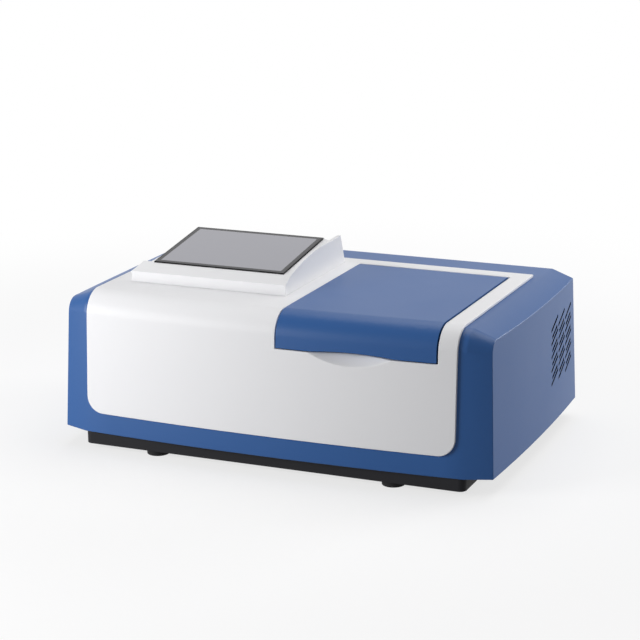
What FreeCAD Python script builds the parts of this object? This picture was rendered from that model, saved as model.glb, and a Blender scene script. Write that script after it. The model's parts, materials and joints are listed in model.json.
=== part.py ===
# Double-beam ultraviolet-visible spectrophotometer, in millimetres.
# X is to the right, Y to the back and Z up, with the origin on the table under the middle of the case.
import FreeCAD, Part
import Sketcher
import math
import os

SIZES = {
    # case
    "case_depth": 365.0,
    "case_height": 185.0,
    "case_wall": 3.0,
    "corner_half": 299.0,
    "wing_width": 35.0,
    "side_bow": 5.0,
    "side_taper": 0.037,
    "front_bow": 9.6,
    "front_lean": 0.069,
    "top_fall": 0.0135,
    "wing_setback": 12.5,
    "bevel_drop": 13.0,
    "brow_radius": 28.0,
    "wing_brow_radius": 12.0,
    # base and feet
    "foot_height": 7.0,
    "foot_radius": 15.0,
    "foot_inset_x": 100.0,
    "foot_inset_y": 18.0,
    "base_height": 17.0,
    "base_half": 266.0,
    "base_wall": 3.5,
    "base_step": 3.0,
    "base_floor": 2.5,
    "base_corner": 9.0,
    "standoff_radius": 3.0,
    "standoff_height": 10.0,
    "deck_thick": 2.5,
    "deck_lift": 1.0,
    "lip_half": 140.0,
    "lip_drop": 2.5,
    "screw_radius": 2.0,
    "screw_head_radius": 3.6,
    "screw_head": 1.6,
    "screw_length": 9.0,
    # fascia
    "fascia_proud": 4.0,
    "fascia_left": -259.0,
    "fascia_right": 254.5,
    "fascia_bottom": 28.0,
    "fascia_rear": 308.0,
    "fascia_corner": 23.0,
    "fascia_ledge": 12.0,
    "scoop_half": 56.0,
    "scoop_middle": 119.0,
    "scoop_height": 12.5,
    "scoop_depth": 12.0,
    "scoop_wall": 4.0,
    # sample lid
    "lid_proud": 5.0,
    "lid_left": 16.6,
    "lid_right": 228.4,
    "lid_bottom": 145.2,
    "lid_rear": 281.5,
    "lid_gap": 1.75,
    "lid_wall": 3.0,
    "lid_skirt": 11.0,
    "lid_arch": 3.0,
    "lid_roll": 6.0,
    "liner_thick": 2.0,
    "hinge_inset": 26.0,
    "knuckle_radius": 2.8,
    "knuckle_length": 12.0,
    "pin_radius": 1.2,
    "running_gap": 0.05,
    "side_gap": 0.3,
    # sample compartment
    "tub_depth": 9.0,
    "tub_wall": 3.0,
    "tub_flange": 7.0,
    "bay_left": 38.0,
    "bay_right": 208.0,
    "bay_front": 46.0,
    "bay_rear": 226.0,
    "tub_lip": 4.5,
    "seal_width": 5.0,
    # optical bench
    "bench_height": 18.0,
    "bench_thick": 8.0,
    "bench_left": -150.0,
    "bench_right": 284.0,
    "bench_front": 32.0,
    "bench_rear": 330.0,
    "pillar_radius": 8.0,
    "pillar_inset": 22.0,
    "beam_height": 74.0,
    "sample_beam": 190.0,
    "reference_beam": 110.0,
    "window_radius": 9.0,
    "window_thick": 2.0,
    "cell_bore": 12.8,
    "cell_body": 26.0,
    "cell_body_height": 70.0,
    "cell_floor": 15.0,
    "cell_plate": 6.0,
    "beam_slot_width": 6.0,
    "beam_slot_height": 22.0,
    # monochromator
    "mono_left": -142.0,
    "mono_right": -8.0,
    "mono_front": 100.0,
    "mono_rear": 306.0,
    "mono_wall": 4.0,
    "mono_height": 100.0,
    "cover_thick": 3.0,
    "slit_beam": 270.0,
    "mirror_radius": 20.0,
    "mirror_thick": 8.0,
    "grating_x": -75.0,
    "grating_y": 232.0,
    "grating_size": 30.0,
    "grating_thick": 8.0,
    "grating_bush": 7.0,
    "shaft_radius": 4.0,
    "gear_module": 1.0,
    "gear_teeth": 90.0,
    "sector_teeth": 21.0,
    "pinion_teeth": 18.0,
    "gear_thick": 6.0,
    "gear_backlash": 0.16,
    "motor_half": 17.5,
    "motor_height": 28.0,
    "motor_shaft": 2.5,
    # filter wheel
    "wheel_x": 44.0,
    "wheel_radius": 29.0,
    "wheel_thick": 3.0,
    "filter_orbit": 21.0,
    "filter_radius": 6.0,
    "filter_count": 6,
    "wheel_motor_radius": 10.0,
    "wheel_motor_length": 24.0,
    # lamp house
    "lamp_left": 190.0,
    "lamp_front": 236.0,
    "lamp_rear": 326.0,
    "lamp_height": 98.0,
    "lamp_wall": 2.0,
    "tube_radius": 15.0,
    "tube_height": 56.0,
    "bulb_radius": 5.5,
    "bulb_height": 20.0,
    "swing_mirror": 24.0,
    # display
    "desk_left": -231.0,
    "desk_right": -7.4,
    "desk_front": 82.5,
    "desk_rear": 284.5,
    "desk_lip": 14.0,
    "desk_wall": 3.0,
    "screen_left": -205.6,
    "screen_right": -17.4,
    "screen_front": 100.0,
    "screen_depth": 134.0,
    "screen_slope": 7.3,
    "screen_rise": 24.0,
    "screen_thick": 4.0,
    "rim_drop": 7.0,
    "rim_front": 22.5,
    "rim_rear": 39.5,
    "rim_crown": 6.0,
    "shoulder": 16.4,
    "cheek_rear": 267.5,
    "cheek_peak": 41.1,
    "cheek_width": 4.5,
    "panel_thick": 6.0,
    "panel_margin": 8.0,
    "board_thick": 1.6,
    "chip_x": 20.0,
    "chip_y": 40.0,
    "chip_side": 30.0,
    "coil_x": 60.0,
    "coil_y": 90.0,
    "coil_width": 18.0,
    "coil_length": 22.0,
    "header_length": 50.0,
    # rear panel
    "rear_recess": 3.0,
    "rear_sheet": 2.0,
    "inlet_x": -205.0,
    "inlet_z": 44.0,
    "inlet_width": 28.0,
    "inlet_height": 54.0,
    "fan_x": 236.0,
    "fan_z": 92.0,
    "fan_size": 60.0,
    "fan_depth": 15.0,
    "fan_bore": 28.0,
    "fan_hub": 11.0,
    "fan_blades": 7,
    "rocker_width": 13.0,
    "rocker_height": 19.0,
    # side vents
    "vent_columns": 3,
    "vent_rows": 9,
    "vent_first": 246.0,
    "vent_pitch_y": 34.0,
    "vent_bottom": 52.0,
    "vent_pitch_z": 9.0,
    "vent_lean": 0.6,
    "vent_length": 33.5,
    "vent_short": 25.0,
    "vent_shift": 4.0,
    "vent_width": 2.2,
    "vent_slant": 24.0,
    # electronics
    "board_inset": 14.0,
    "board_front": 26.0,
    "board_length": 160.0,
    "board_gap": 20.0,
    "supply_inset": 20.0,
    "supply_rear_gap": 30.0,
    "supply_top": 42.0,
}

doc = FreeCAD.newDocument("uv_vis_spectrophotometer")
sheet = doc.addObject("Spreadsheet::Sheet", "dims")
for row, (alias, value) in enumerate(SIZES.items(), start=1):
    sheet.set(f"A{row}", alias)
    sheet.set(f"B{row}", str(value))
    sheet.setAlias(f"B{row}", alias)
doc.recompute()

Vector = FreeCAD.Vector


class Size:
    """A length that knows both its value and the formula over the sheet's cells that gives it."""

    def __init__(self, value, text):
        self.value = float(value)
        self.text = text

    def __add__(self, other):
        other = as_size(other)
        return Size(self.value + other.value, f"({self.text} + {other.text})")

    def __sub__(self, other):
        other = as_size(other)
        return Size(self.value - other.value, f"({self.text} - {other.text})")

    def __mul__(self, other):
        other = as_size(other)
        return Size(self.value * other.value, f"({self.text} * {other.text})")

    def __truediv__(self, other):
        other = as_size(other)
        return Size(self.value / other.value, f"({self.text} / {other.text})")

    def __neg__(self):
        return Size(-self.value, f"(0 - {self.text})")

    __radd__ = __add__
    __rmul__ = __mul__

    def __rsub__(self, other):
        return as_size(other) - self

    def __rtruediv__(self, other):
        return as_size(other) / self


def as_size(value):
    if isinstance(value, Size):
        return value
    return Size(value, repr(float(value)))


def root(value):
    return Size(math.sqrt(value.value), f"sqrt({value.text})")


def turned(function, angle):
    """Sine, cosine or tangent of an angle in degrees."""
    number = getattr(math, function)(math.radians(angle.value))
    return Size(number, f"{function}({angle.text} * 1deg)")


class Cells:
    """Every cell of the sheet as a Size."""


s = Cells()
for alias, value in SIZES.items():
    setattr(s, alias, Size(value, "dims." + alias))
s.crease_half = s.corner_half - s.wing_width

nodes = {}


def node(label, shape_object):
    """Names a finished piece, so that it is written to its own file."""
    shape_object.Label = label
    nodes[label] = shape_object
    return shape_object


def place(obj, x, y, z):
    for axis, value in zip("xyz", (x, y, z)):
        obj.setExpression("Placement.Base." + axis, as_size(value).text)
    return obj


def block(name, x0, x1, y0, y1, z0, z1):
    obj = doc.addObject("Part::Box", name)
    obj.setExpression("Length", (as_size(x1) - x0).text)
    obj.setExpression("Width", (as_size(y1) - y0).text)
    obj.setExpression("Height", (as_size(z1) - z0).text)
    return place(obj, x0, y0, z0)


TURNS = {
    "z": FreeCAD.Rotation(),
    "x": FreeCAD.Rotation(Vector(0, 1, 0), 90),
    "y": FreeCAD.Rotation(Vector(1, 0, 0), -90),
}


def rod(name, axis, x, y, z, radius, length):
    """A cylinder that starts at a point and runs along an axis."""
    obj = doc.addObject("Part::Cylinder", name)
    obj.setExpression("Radius", as_size(radius).text)
    obj.setExpression("Height", as_size(length).text)
    obj.Placement = FreeCAD.Placement(Vector(), TURNS[axis])
    return place(obj, x, y, z)


def fuse(name, *pieces):
    obj = doc.addObject("Part::MultiFuse", name)
    obj.Shapes = list(pieces)
    return obj


def cut(name, base, *tools):
    obj = doc.addObject("Part::Cut", name)
    obj.Base = base
    obj.Tool = tools[0] if len(tools) == 1 else fuse(name + "_tools", *tools)
    return obj


def common(name, first, second):
    obj = doc.addObject("Part::Common", name)
    obj.Base = first
    obj.Tool = second
    return obj


def draw_circle(sketch, u, v, radius):
    centre = Vector(as_size(u).value, as_size(v).value, 0)
    sketch.addGeometry(Part.Circle(centre, Vector(0, 0, 1), radius.value), False)
    for kind, value in (("DistanceX", u), ("DistanceY", v)):
        number = sketch.addConstraint(Sketcher.Constraint(kind, -1, 1, 0, 3, as_size(value).value))
        sketch.setExpression(f"Constraints[{number}]", as_size(value).text)
    number = sketch.addConstraint(Sketcher.Constraint("Radius", 0, radius.value))
    sketch.setExpression(f"Constraints[{number}]", radius.text)


def draw(sketch, corners):
    """Closed outline through corners (u, v), where (u, v, rise) bows the edge that leaves it outwards."""
    if corners[0] == "circle":
        draw_circle(sketch, *corners[1:])
        return
    count = len(corners)
    for index in range(count):
        here = corners[index]
        there = corners[(index + 1) % count]
        first = Vector(as_size(here[0]).value, as_size(here[1]).value, 0)
        last = Vector(as_size(there[0]).value, as_size(there[1]).value, 0)
        if len(here) == 3:
            along = (last - first).normalize()
            middle = (first + last) * 0.5 + Vector(along.y, -along.x, 0) * here[2].value
            curve = Part.ArcOfCircle(first, middle, last)
            backwards = (curve.StartPoint - first).Length > 1e-4
        else:
            curve = Part.LineSegment(first, last)
            backwards = False
        sketch.addGeometry(curve, False)
        start_point = 2 if backwards else 1
        for kind, value in (("DistanceX", here[0]), ("DistanceY", here[1])):
            rule = Sketcher.Constraint(kind, -1, 1, index, start_point, as_size(value).value)
            number = sketch.addConstraint(rule)
            sketch.setExpression(f"Constraints[{number}]", as_size(value).text)
        if len(here) == 3:
            run_u = as_size(there[0]) - here[0]
            run_v = as_size(there[1]) - here[1]
            chord = run_u * run_u + run_v * run_v
            radius = (chord / 4 + here[2] * here[2]) / (2 * here[2])
            number = sketch.addConstraint(Sketcher.Constraint("Radius", index, abs(radius.value)))
            text = radius.text if radius.value > 0 else f"(0 - {radius.text})"
            sketch.setExpression(f"Constraints[{number}]", text)
    ends = []
    for index in range(count):
        start = sketch.Geometry[index].StartPoint
        first = Vector(as_size(corners[index][0]).value, as_size(corners[index][1]).value, 0)
        ends.append((1, 2) if (start - first).Length < 1e-3 else (2, 1))
    for index in range(count):
        after = (index + 1) % count
        sketch.addConstraint(Sketcher.Constraint("Coincident", index, ends[index][1], after, ends[after][0]))


PLANES = {
    "XY": FreeCAD.Rotation(),
    "XZ": FreeCAD.Rotation(Vector(1, 0, 0), 90),
    "YZ": FreeCAD.Rotation(0.5, 0.5, 0.5, 0.5),
}
NORMALS = {"XY": ("z", 1), "XZ": ("y", -1), "YZ": ("x", 1)}


def outline(name, plane, corners, at=0):
    """A sketch with one closed outline in a plane across the X, Y or Z axis."""
    sketch = doc.addObject("Sketcher::SketchObject", name)
    sketch.Placement = FreeCAD.Placement(Vector(), PLANES[plane])
    sketch.setExpression("Placement.Base." + NORMALS[plane][0], as_size(at).text)
    draw(sketch, corners)
    return sketch


def prism(name, plane, corners, start, end):
    """An outline extruded from one place on its plane's axis to another."""
    sketch = outline(name + "_outline", plane, corners, start)
    obj = doc.addObject("Part::Extrusion", name)
    obj.Base = sketch
    obj.DirMode = "Normal"
    obj.Solid = True
    length = (as_size(end) - start) * NORMALS[plane][1]
    if length.value < 0:
        obj.Reversed = True
        length = -length
    obj.setExpression("LengthFwd", length.text)
    return obj


def rectangle(u0, u1, v0, v1):
    return [(u0, v0), (u1, v0), (u1, v1), (u0, v1)]


def origin_plane(body, role):
    return next(feature for feature in body.Origin.OriginFeatures if feature.Role == role)


def body_sketch(body, plane, corners, at=0):
    """A sketch on one of a body's own origin planes, moved along the plane's normal."""
    sketch = body.newObject("Sketcher::SketchObject", body.Name + "_sketch")
    sketch.AttachmentSupport = [(origin_plane(body, plane + "_Plane"), "")]
    sketch.MapMode = "FlatFace"
    offset = as_size(at) * NORMALS[plane][1]
    sketch.setExpression("AttachmentOffset.Base.z", offset.text)
    draw(sketch, corners)
    return sketch


def feature(body, kind, plane, corners, start, end):
    """A pad or a pocket in a body, from one place on the plane's axis to another."""
    sketch = body_sketch(body, plane, corners, start)
    obj = body.newObject("PartDesign::" + kind, body.Name + "_" + kind.lower())
    obj.Profile = sketch
    length = (as_size(end) - start) * NORMALS[plane][1]
    forwards = length.value > 0
    obj.Reversed = not forwards if kind == "Pad" else forwards
    obj.setExpression("Length", (length if forwards else -length).text)
    volume = body.Shape.Volume if kind == "Pocket" else 0
    doc.recompute()
    if kind == "Pocket" and body.Shape.Volume >= volume:
        raise RuntimeError(f"{obj.Name} cuts nothing")
    return obj


def new_body(label):
    return node(label, doc.addObject("PartDesign::Body", label))


# Places that everything is set out from.
front = -(s.case_depth - s.front_bow) / 2
rear = front + s.case_depth
sill = s.foot_height + s.base_height
top = sill + s.case_height
wing_run = s.corner_half - s.crease_half
wing_slope = s.wing_setback / wing_run
bevel_slope = s.bevel_drop / wing_run
ends = s.corner_half + 12


def profile(name, x, grow, low, back):
    """Side view of the case at a distance from the middle: leaning front, rounded brow, falling top."""
    inside = x.value <= s.crease_half.value + 1e-6
    beyond = as_size(0) if inside else x - s.crease_half
    share = x / s.crease_half
    bow = s.front_bow * (1 - share * share) if inside else as_size(0)
    foot_y = front - bow + wing_slope * beyond - grow * (1 if inside else 1.06) + s.front_lean * (low - sill)
    radius = s.brow_radius + grow if inside else s.wing_brow_radius + grow * 0.5
    top_rear = top + grow - s.top_fall * (back - front) - bevel_slope * beyond
    lean = s.front_lean
    fall = s.top_fall
    peak_z = (top_rear + fall * (back - foot_y + lean * low)) / (1 + fall * lean)
    peak_y = foot_y + lean * (peak_z - low)
    along_front = root(1 + lean * lean)
    along_top = root(1 + fall * fall)
    cosine = (fall - lean) / (along_front * along_top)
    reach = radius * root((1 + cosine) / (1 - cosine))
    front_y = peak_y - reach * lean / along_front
    front_z = peak_z - reach / along_front
    top_y = peak_y + reach / along_top
    top_z = peak_z - reach * fall / along_top
    half = root((1 - cosine) / 2)
    rise = radius * (1 - half)
    corners = [(foot_y, low), (back, low), (back, top_rear), (top_y, top_z, rise), (front_y, front_z)]
    return corners


def loft(name, sections, ruled):
    obj = doc.addObject("Part::Loft", name)
    obj.Sections = sections
    obj.Solid = True
    obj.Ruled = ruled
    return obj


def case_form(name, grow, low, back):
    """The case's outer form, grown outwards on the front, top and sides, down to a height."""
    grow = as_size(grow)
    stations = [-1.0, -0.5, 0.0, 0.5, 1.0]
    sections = []
    for number, share in enumerate(stations):
        x = s.crease_half * share
        corners = profile(name, s.crease_half * abs(share), grow, low, back)
        sections.append(outline(f"{name}_section_{number}", "YZ", corners, x))
    middle = loft(name + "_middle", sections, False)
    wings = []
    for side in (-1.0, 1.0):
        root = profile(name, s.crease_half, grow, low, back)
        inner = outline(f"{name}_wing_root", "YZ", root, s.crease_half * side)
        outer = outline(f"{name}_wing_tip", "YZ", profile(name, ends, grow, low, back), ends * side)
        wings.append(loft(f"{name}_wing", [inner, outer], True))
    whole = fuse(name + "_whole", middle, *wings)
    planes = []
    for number, height in enumerate((low - 1, top + 20)):
        half = s.corner_half + grow - s.side_taper * (height - sill)
        corners = [
            (-half, front - 40),
            (half, front - 40),
            (half, front, s.side_bow),
            (half, back + 1),
            (-half, back + 1, s.side_bow),
            (-half, front),
        ]
        planes.append(outline(f"{name}_plan_{number}", "XY", corners, height))
    sides = loft(name + "_sides", planes, True)
    return common(name, whole, sides)


def back_at(value):
    """A place measured back from the front crease."""
    return front + value


def up_at(value):
    """A height measured up from the case's bottom edge."""
    return sill + value


def roof(y, grow):
    """Height of the falling top at a place, grown outwards."""
    return top + grow - s.top_fall * (y - front)


def slab(name, x0, x1, y0, y1, low, high):
    """A plate that lies along the falling top, between two offsets from it."""
    corners = [(y0, roof(y0, low)), (y1, roof(y1, low)), (y1, roof(y1, high)), (y0, roof(y0, high))]
    return prism(name, "YZ", corners, x0, x1)


corner_rise = 1 - root(as_size(0.5))


def rounded(u0, u1, v0, v1, radius):
    """A rectangle with four round corners."""
    rise = radius * corner_rise
    return [
        (u0 + radius, v0), (u1 - radius, v0, rise), (u1, v0 + radius), (u1, v1 - radius, rise),
        (u1 - radius, v1), (u0 + radius, v1, rise), (u0, v1 - radius), (u0, v0 + radius, rise),
    ]


def circle(u, v, radius):
    return ["circle", u, v, radius]


def wrap(name, x0, x1, z0, y1, radius=None):
    """The space over the front and top between two sides, above a height and ahead of a rear edge."""
    high = top + 40
    if radius is None:
        corners = rectangle(x0, x1, z0, high)
    else:
        rise = radius * corner_rise
        corners = [
            (x0, high), (x0, z0 + radius, rise), (x0 + radius, z0),
            (x1 - radius, z0, rise), (x1, z0 + radius), (x1, high),
        ]
    return prism(name, "XZ", corners, front - 40, y1)


lid_x = (s.lid_left, s.lid_right)
lid_floor = up_at(s.lid_bottom)
lid_back = back_at(s.lid_rear)
hinge_y = lid_back - s.lid_roll
hinge_z = roof(hinge_y, s.lid_proud) - s.lid_roll
bench_top = up_at(s.bench_height + s.bench_thick)
beam = bench_top + s.beam_height
tray_floor = s.foot_height + s.base_floor
deck_low = sill + s.deck_lift
deck_top = deck_low + s.deck_thick
panel_back = rear - s.rear_recess
panel_face = panel_back - s.rear_sheet
hinges = [s.lid_left + s.hinge_inset, s.lid_right - s.hinge_inset]


def make_case():
    outer = case_form("case_outer", 0, sill, rear)
    inner = case_form("case_inner", -s.case_wall, sill - 5, rear + 10)
    window = wrap(
        "case_window",
        s.fascia_left + s.fascia_ledge,
        s.fascia_right - s.fascia_ledge,
        up_at(s.fascia_bottom + s.fascia_ledge),
        back_at(s.fascia_rear - s.fascia_ledge),
    )
    slots = []
    rise_per_run = turned("tan", s.vent_slant)
    for side in (-1.0, 1.0):
        for column in range(int(SIZES["vent_columns"])):
            for row in range(int(SIZES["vent_rows"])):
                short = row % 2 == 1
                run = (s.vent_short if short else s.vent_length) * turned("cos", s.vent_slant)
                y0 = back_at(s.vent_first + s.vent_pitch_y * column + s.vent_lean * row)
                z0 = up_at(s.vent_bottom + s.vent_pitch_z * row)
                if short:
                    y0 = y0 + s.vent_shift
                z1 = z0 + run * rise_per_run
                width = s.vent_width / turned("cos", s.vent_slant)
                corners = [(y0, z0), (y0 + run, z1), (y0 + run, z1 + width), (y0, z0 + width)]
                inside = (s.corner_half - 20) * side
                slots.append(prism("vent_slot", "YZ", corners, inside, (s.corner_half + 20) * side))
    node("case_shell", cut("case_shell", outer, inner, window, *slots))
    return outer


def make_fascia(outer):
    front_skin = case_form("fascia_outer", s.fascia_proud, sill, rear)
    area = wrap(
        "fascia_area", s.fascia_left, s.fascia_right, up_at(s.fascia_bottom),
        back_at(s.fascia_rear), s.fascia_corner,
    )
    skin = cut("fascia_skin", common("fascia_sheet", front_skin, area), outer)
    scoop_top = lid_floor - s.lid_gap
    boss_low = scoop_top - s.scoop_height - s.scoop_wall
    boss_area = block(
        "scoop_area",
        s.scoop_middle - s.scoop_half - s.scoop_wall,
        s.scoop_middle + s.scoop_half + s.scoop_wall,
        front - 40, front + 60, boss_low, scoop_top,
    )
    boss_back = case_form("scoop_back", s.fascia_proud - s.scoop_depth - s.scoop_wall, sill, rear)
    boss = cut("scoop_boss", common("scoop_block", front_skin, boss_area), boss_back)
    opening = wrap(
        "lid_opening", s.lid_left - s.lid_gap, s.lid_right + s.lid_gap, scoop_top,
        lid_back + s.lid_gap,
    )
    ring = (s.scoop_half * s.scoop_half + s.scoop_height * s.scoop_height) / (2 * s.scoop_height)
    ahead = (s.scoop_half * s.scoop_half - s.scoop_depth * s.scoop_depth) / (2 * s.scoop_depth)
    share = s.scoop_middle / s.crease_half
    face = front - s.front_bow * (1 - share * share) - s.fascia_proud + s.front_lean * (scoop_top - sill)
    ball = doc.addObject("Part::Sphere", "scoop_ball")
    ball.setExpression("Radius", root(ring * ring + ahead * ahead).text)
    place(ball, s.scoop_middle, face - ahead, scoop_top - s.scoop_height + ring)
    node("fascia_panel", cut("fascia_panel", fuse("fascia_whole", skin, boss), opening, ball))


def make_lid():
    outer = case_form("lid_outer", s.lid_proud, sill, rear)
    inner = case_form("lid_inner", s.lid_proud - s.lid_wall, sill, rear)
    below = case_form("lid_below", s.lid_proud - s.lid_skirt, sill, rear)
    area = wrap("lid_area", s.lid_left, s.lid_right, lid_floor, lid_back)
    hollow = wrap(
        "lid_hollow", s.lid_left + s.lid_wall, s.lid_right - s.lid_wall,
        lid_floor + s.lid_wall, lid_back - s.lid_wall,
    )
    arch = prism("lid_arch", "XZ", [
        (s.scoop_middle - s.scoop_half, lid_floor - 1),
        (s.scoop_middle + s.scoop_half, lid_floor - 1),
        (s.scoop_middle + s.scoop_half, lid_floor, s.lid_arch),
        (s.scoop_middle - s.scoop_half, lid_floor),
    ], front - 40, front + 40)
    across = (s.lid_left - 1, s.lid_right + 1)
    square = block("roll_square", *across, hinge_y, lid_back + 1, hinge_z, hinge_z + s.lid_roll + 2)
    barrel = rod("roll_barrel", "x", across[0] - 1, hinge_y, hinge_z, s.lid_roll, across[1] - across[0] + 2)
    corner = cut("roll_corner", square, barrel)
    clear = block("lid_clear", *across, hinge_y, lid_back + 1, hinge_z - 2 * s.lid_skirt, hinge_z)
    notches = []
    for x in hinges:
        half = s.knuckle_length / 2 + 1
        ceiling = hinge_z + s.lid_roll - s.lid_wall
        notches.append(block(
            "lid_notch", x - half, x + half, hinge_y - s.knuckle_radius - 0.5, lid_back + 1,
            hinge_z - 2 * s.lid_skirt, ceiling - 0.1,
        ))
    shell = cut("lid_sheet", common("lid_block", outer, area), below, common("lid_space", inner, hollow))
    node("sample_lid", cut("sample_lid", shell, arch, corner, clear, *notches))
    liner_top = s.lid_proud - s.lid_wall - 0.1
    margin = s.lid_wall + 1
    node("lid_liner", slab(
        "lid_liner", s.lid_left + margin, s.lid_right - margin,
        back_at(s.bay_front - 6), back_at(s.bay_rear + 8), liner_top - s.liner_thick, liner_top,
    ))


def make_hinges():
    brackets = []
    leaves = []
    pins = []
    floor = roof(hinge_y, -s.tub_depth)
    leaf_length = s.knuckle_length * 0.6
    eye_radius = s.pin_radius + s.running_gap
    for x in hinges:
        x0 = x - s.knuckle_length / 2
        x1 = x + s.knuckle_length / 2
        knuckle = rod("bracket_knuckle", "x", x0, hinge_y, hinge_z, s.knuckle_radius, s.knuckle_length)
        stem = block("bracket_stem", x0, x1, hinge_y - 2.3, hinge_y + 2.3, floor + 0.1, hinge_z)
        bore = rod("bracket_bore", "x", x0 - 1, hinge_y, hinge_z, eye_radius, s.knuckle_length + 2)
        brackets.append(cut("bracket", fuse("bracket_body", knuckle, stem), bore))
        for leaf_x in (x0 - s.side_gap - leaf_length, x1 + s.side_gap):
            barrel = rod("leaf_knuckle", "x", leaf_x, hinge_y, hinge_z, s.knuckle_radius, leaf_length)
            plate = slab(
                "leaf_plate", leaf_x, leaf_x + leaf_length, hinge_y - 20, hinge_y,
                s.lid_proud - s.lid_wall - 3.5, s.lid_proud - s.lid_wall - 0.1,
            )
            eye = rod("leaf_eye", "x", leaf_x - 1, hinge_y, hinge_z, eye_radius, leaf_length + 2)
            leaves.append(cut("leaf", fuse("leaf_body", barrel, plate), eye))
        pin_start = x0 - s.side_gap - leaf_length
        pin_length = s.knuckle_length + 2 * (s.side_gap + leaf_length)
        pins.append(rod("pin", "x", pin_start, hinge_y, hinge_z, s.pin_radius, pin_length))
    node("hinge_brackets", fuse("hinge_brackets", *brackets))
    node("hinge_leaves", fuse("hinge_leaves", *leaves))
    node("hinge_pins", fuse("hinge_pins", *pins))


def make_tub():
    upper = case_form("tub_upper", -s.side_gap, sill, rear)
    recess = case_form("tub_recess", -s.tub_depth, sill, rear)
    under = case_form("tub_under", -s.tub_depth - s.tub_wall, sill, rear)
    grow = s.lid_gap + s.tub_wall
    outside = wrap(
        "tub_outside", s.lid_left - grow, s.lid_right + grow,
        lid_floor - s.lid_gap + s.side_gap, lid_back + grow,
    )
    inside = wrap(
        "tub_inside", s.lid_left - s.lid_gap, s.lid_right + s.lid_gap, lid_floor - 10, lid_back + s.lid_gap,
    )
    rim = cut("tub_rim", common("tub_block", upper, outside), under, cut("tub_hollow", inside, recess))
    y0 = back_at(s.bay_front)
    y1 = back_at(s.bay_rear)
    wall = s.tub_wall
    lip = -s.tub_depth + s.tub_lip
    corners = [(y0, bench_top), (y1, bench_top), (y1, roof(y1, lip)), (y0, roof(y0, lip))]
    bay = prism("bay_outside", "YZ", corners, s.bay_left, s.bay_right)
    space = block(
        "bay_inside", s.bay_left + wall, s.bay_right - wall, y0 + wall, y1 - wall,
        bench_top + wall, top + 40,
    )
    holes = []
    windows = []
    for y in (back_at(s.sample_beam), back_at(s.reference_beam)):
        hole_start = s.bay_left - 1
        hole_length = s.bay_right - s.bay_left + 2
        holes.append(rod("beam_hole", "x", hole_start, y, beam, s.window_radius + s.running_gap, hole_length))
        windows.append(rod("window", "x", s.bay_left + 0.5, y, beam, s.window_radius, s.window_thick))
        right_window = s.bay_right - 0.5 - s.window_thick
        windows.append(rod("window", "x", right_window, y, beam, s.window_radius, s.window_thick))
    node("sample_tub", cut("sample_tub", fuse("tub_body", rim, bay), space, *holes))
    node("tub_windows", fuse("tub_windows", *windows))
    liner_low = s.lid_proud - s.lid_wall - 0.1 - s.liner_thick
    ring = slab("seal_outside", s.bay_left, s.bay_right, y0, y1, lip, liner_low - s.side_gap)
    hole = block(
        "seal_inside", s.bay_left + wall, s.bay_right - wall, y0 + wall, y1 - wall, bench_top, top + 40,
    )
    node("lid_seal", cut("lid_seal", ring, hole))


def make_cells():
    middle = (s.bay_left + s.bay_right) / 2
    plate_low = bench_top + s.tub_wall
    plate_top = plate_low + s.cell_plate
    margin = s.cell_body
    node("cell_plate", block(
        "cell_plate", middle - s.cell_body, middle + s.cell_body,
        back_at(s.reference_beam) - margin, back_at(s.sample_beam) + margin, plate_low, plate_top,
    ))
    holders = (("sample_cell_holder", s.sample_beam), ("reference_cell_holder", s.reference_beam))
    for label, place_y in holders:
        y = back_at(place_y)
        half = s.cell_body / 2
        bore = s.cell_bore / 2
        body = new_body(label)
        high = beam + s.beam_slot_height
        block_plan = rectangle(middle - half, middle + half, y - half, y + half)
        feature(body, "Pad", "XY", block_plan, plate_top, high)
        well = rectangle(middle - bore, middle + bore, y - bore, y + bore)
        feature(body, "Pocket", "XY", well, beam - s.cell_floor, high + 1)
        slot = s.beam_slot_width / 2
        tall = s.beam_slot_height / 2
        light = rectangle(y - slot, y + slot, beam - tall, beam + tall)
        feature(body, "Pocket", "YZ", light, middle - half - 1, middle + half + 1)


def make_base():
    body = new_body("base_tray")
    y0 = back_at(1.5)
    y1 = rear - 8
    half = s.base_half
    outside = rounded(-half, half, y0, y1, s.base_corner)
    feature(body, "Pad", "XY", outside, s.foot_height, sill - s.running_gap)
    step = s.base_step
    ledge = rounded(-half + step, half - step, y0 + step, y1 - step, s.base_corner - step)
    feature(body, "Pad", "XY", ledge, sill - 1, deck_low + 1)
    reach = s.corner_half - s.case_wall - 3 * s.side_gap
    deck_front = front + s.case_wall + 3 * s.side_gap
    deck = [
        (-s.crease_half, deck_front, s.front_bow),
        (s.crease_half, deck_front),
        (reach, deck_front + s.wing_setback, s.side_bow),
        (reach, rear - 1),
        (-reach, rear - 1, s.side_bow),
        (-reach, deck_front + s.wing_setback),
    ]
    feature(body, "Pad", "XY", deck, deck_low, deck_top)
    lip = rectangle(-s.lip_half, s.lip_half, y0 + 12, y1 - 12)
    feature(body, "Pad", "XY", lip, s.foot_height - s.lip_drop, s.foot_height + 1)
    wall = step + s.base_wall
    inside = rounded(-half + wall, half - wall, y0 + wall, y1 - wall, s.base_corner - wall)
    feature(body, "Pocket", "XY", inside, tray_floor, deck_top + 1)
    for x, y in board_places():
        standoff = circle(x, y, s.standoff_radius)
        feature(body, "Pad", "XY", standoff, tray_floor - 1, tray_floor + s.standoff_height)
    for x, y in foot_places():
        feature(body, "Pocket", "XY", circle(x, y, s.screw_radius + 0.15), s.foot_height - 5, tray_floor + 1)


def board_corners():
    """Plan of the main board: left, right, front and rear."""
    y0 = back_at(s.board_front)
    return -s.base_half + s.board_inset, s.bench_left - 8, y0, y0 + s.board_length


def board_places():
    x0, x1, y0, y1 = board_corners()
    return [(x, y) for x in (x0 + 6, x1 - 6) for y in (y0 + 6, y1 - 6)]


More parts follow.
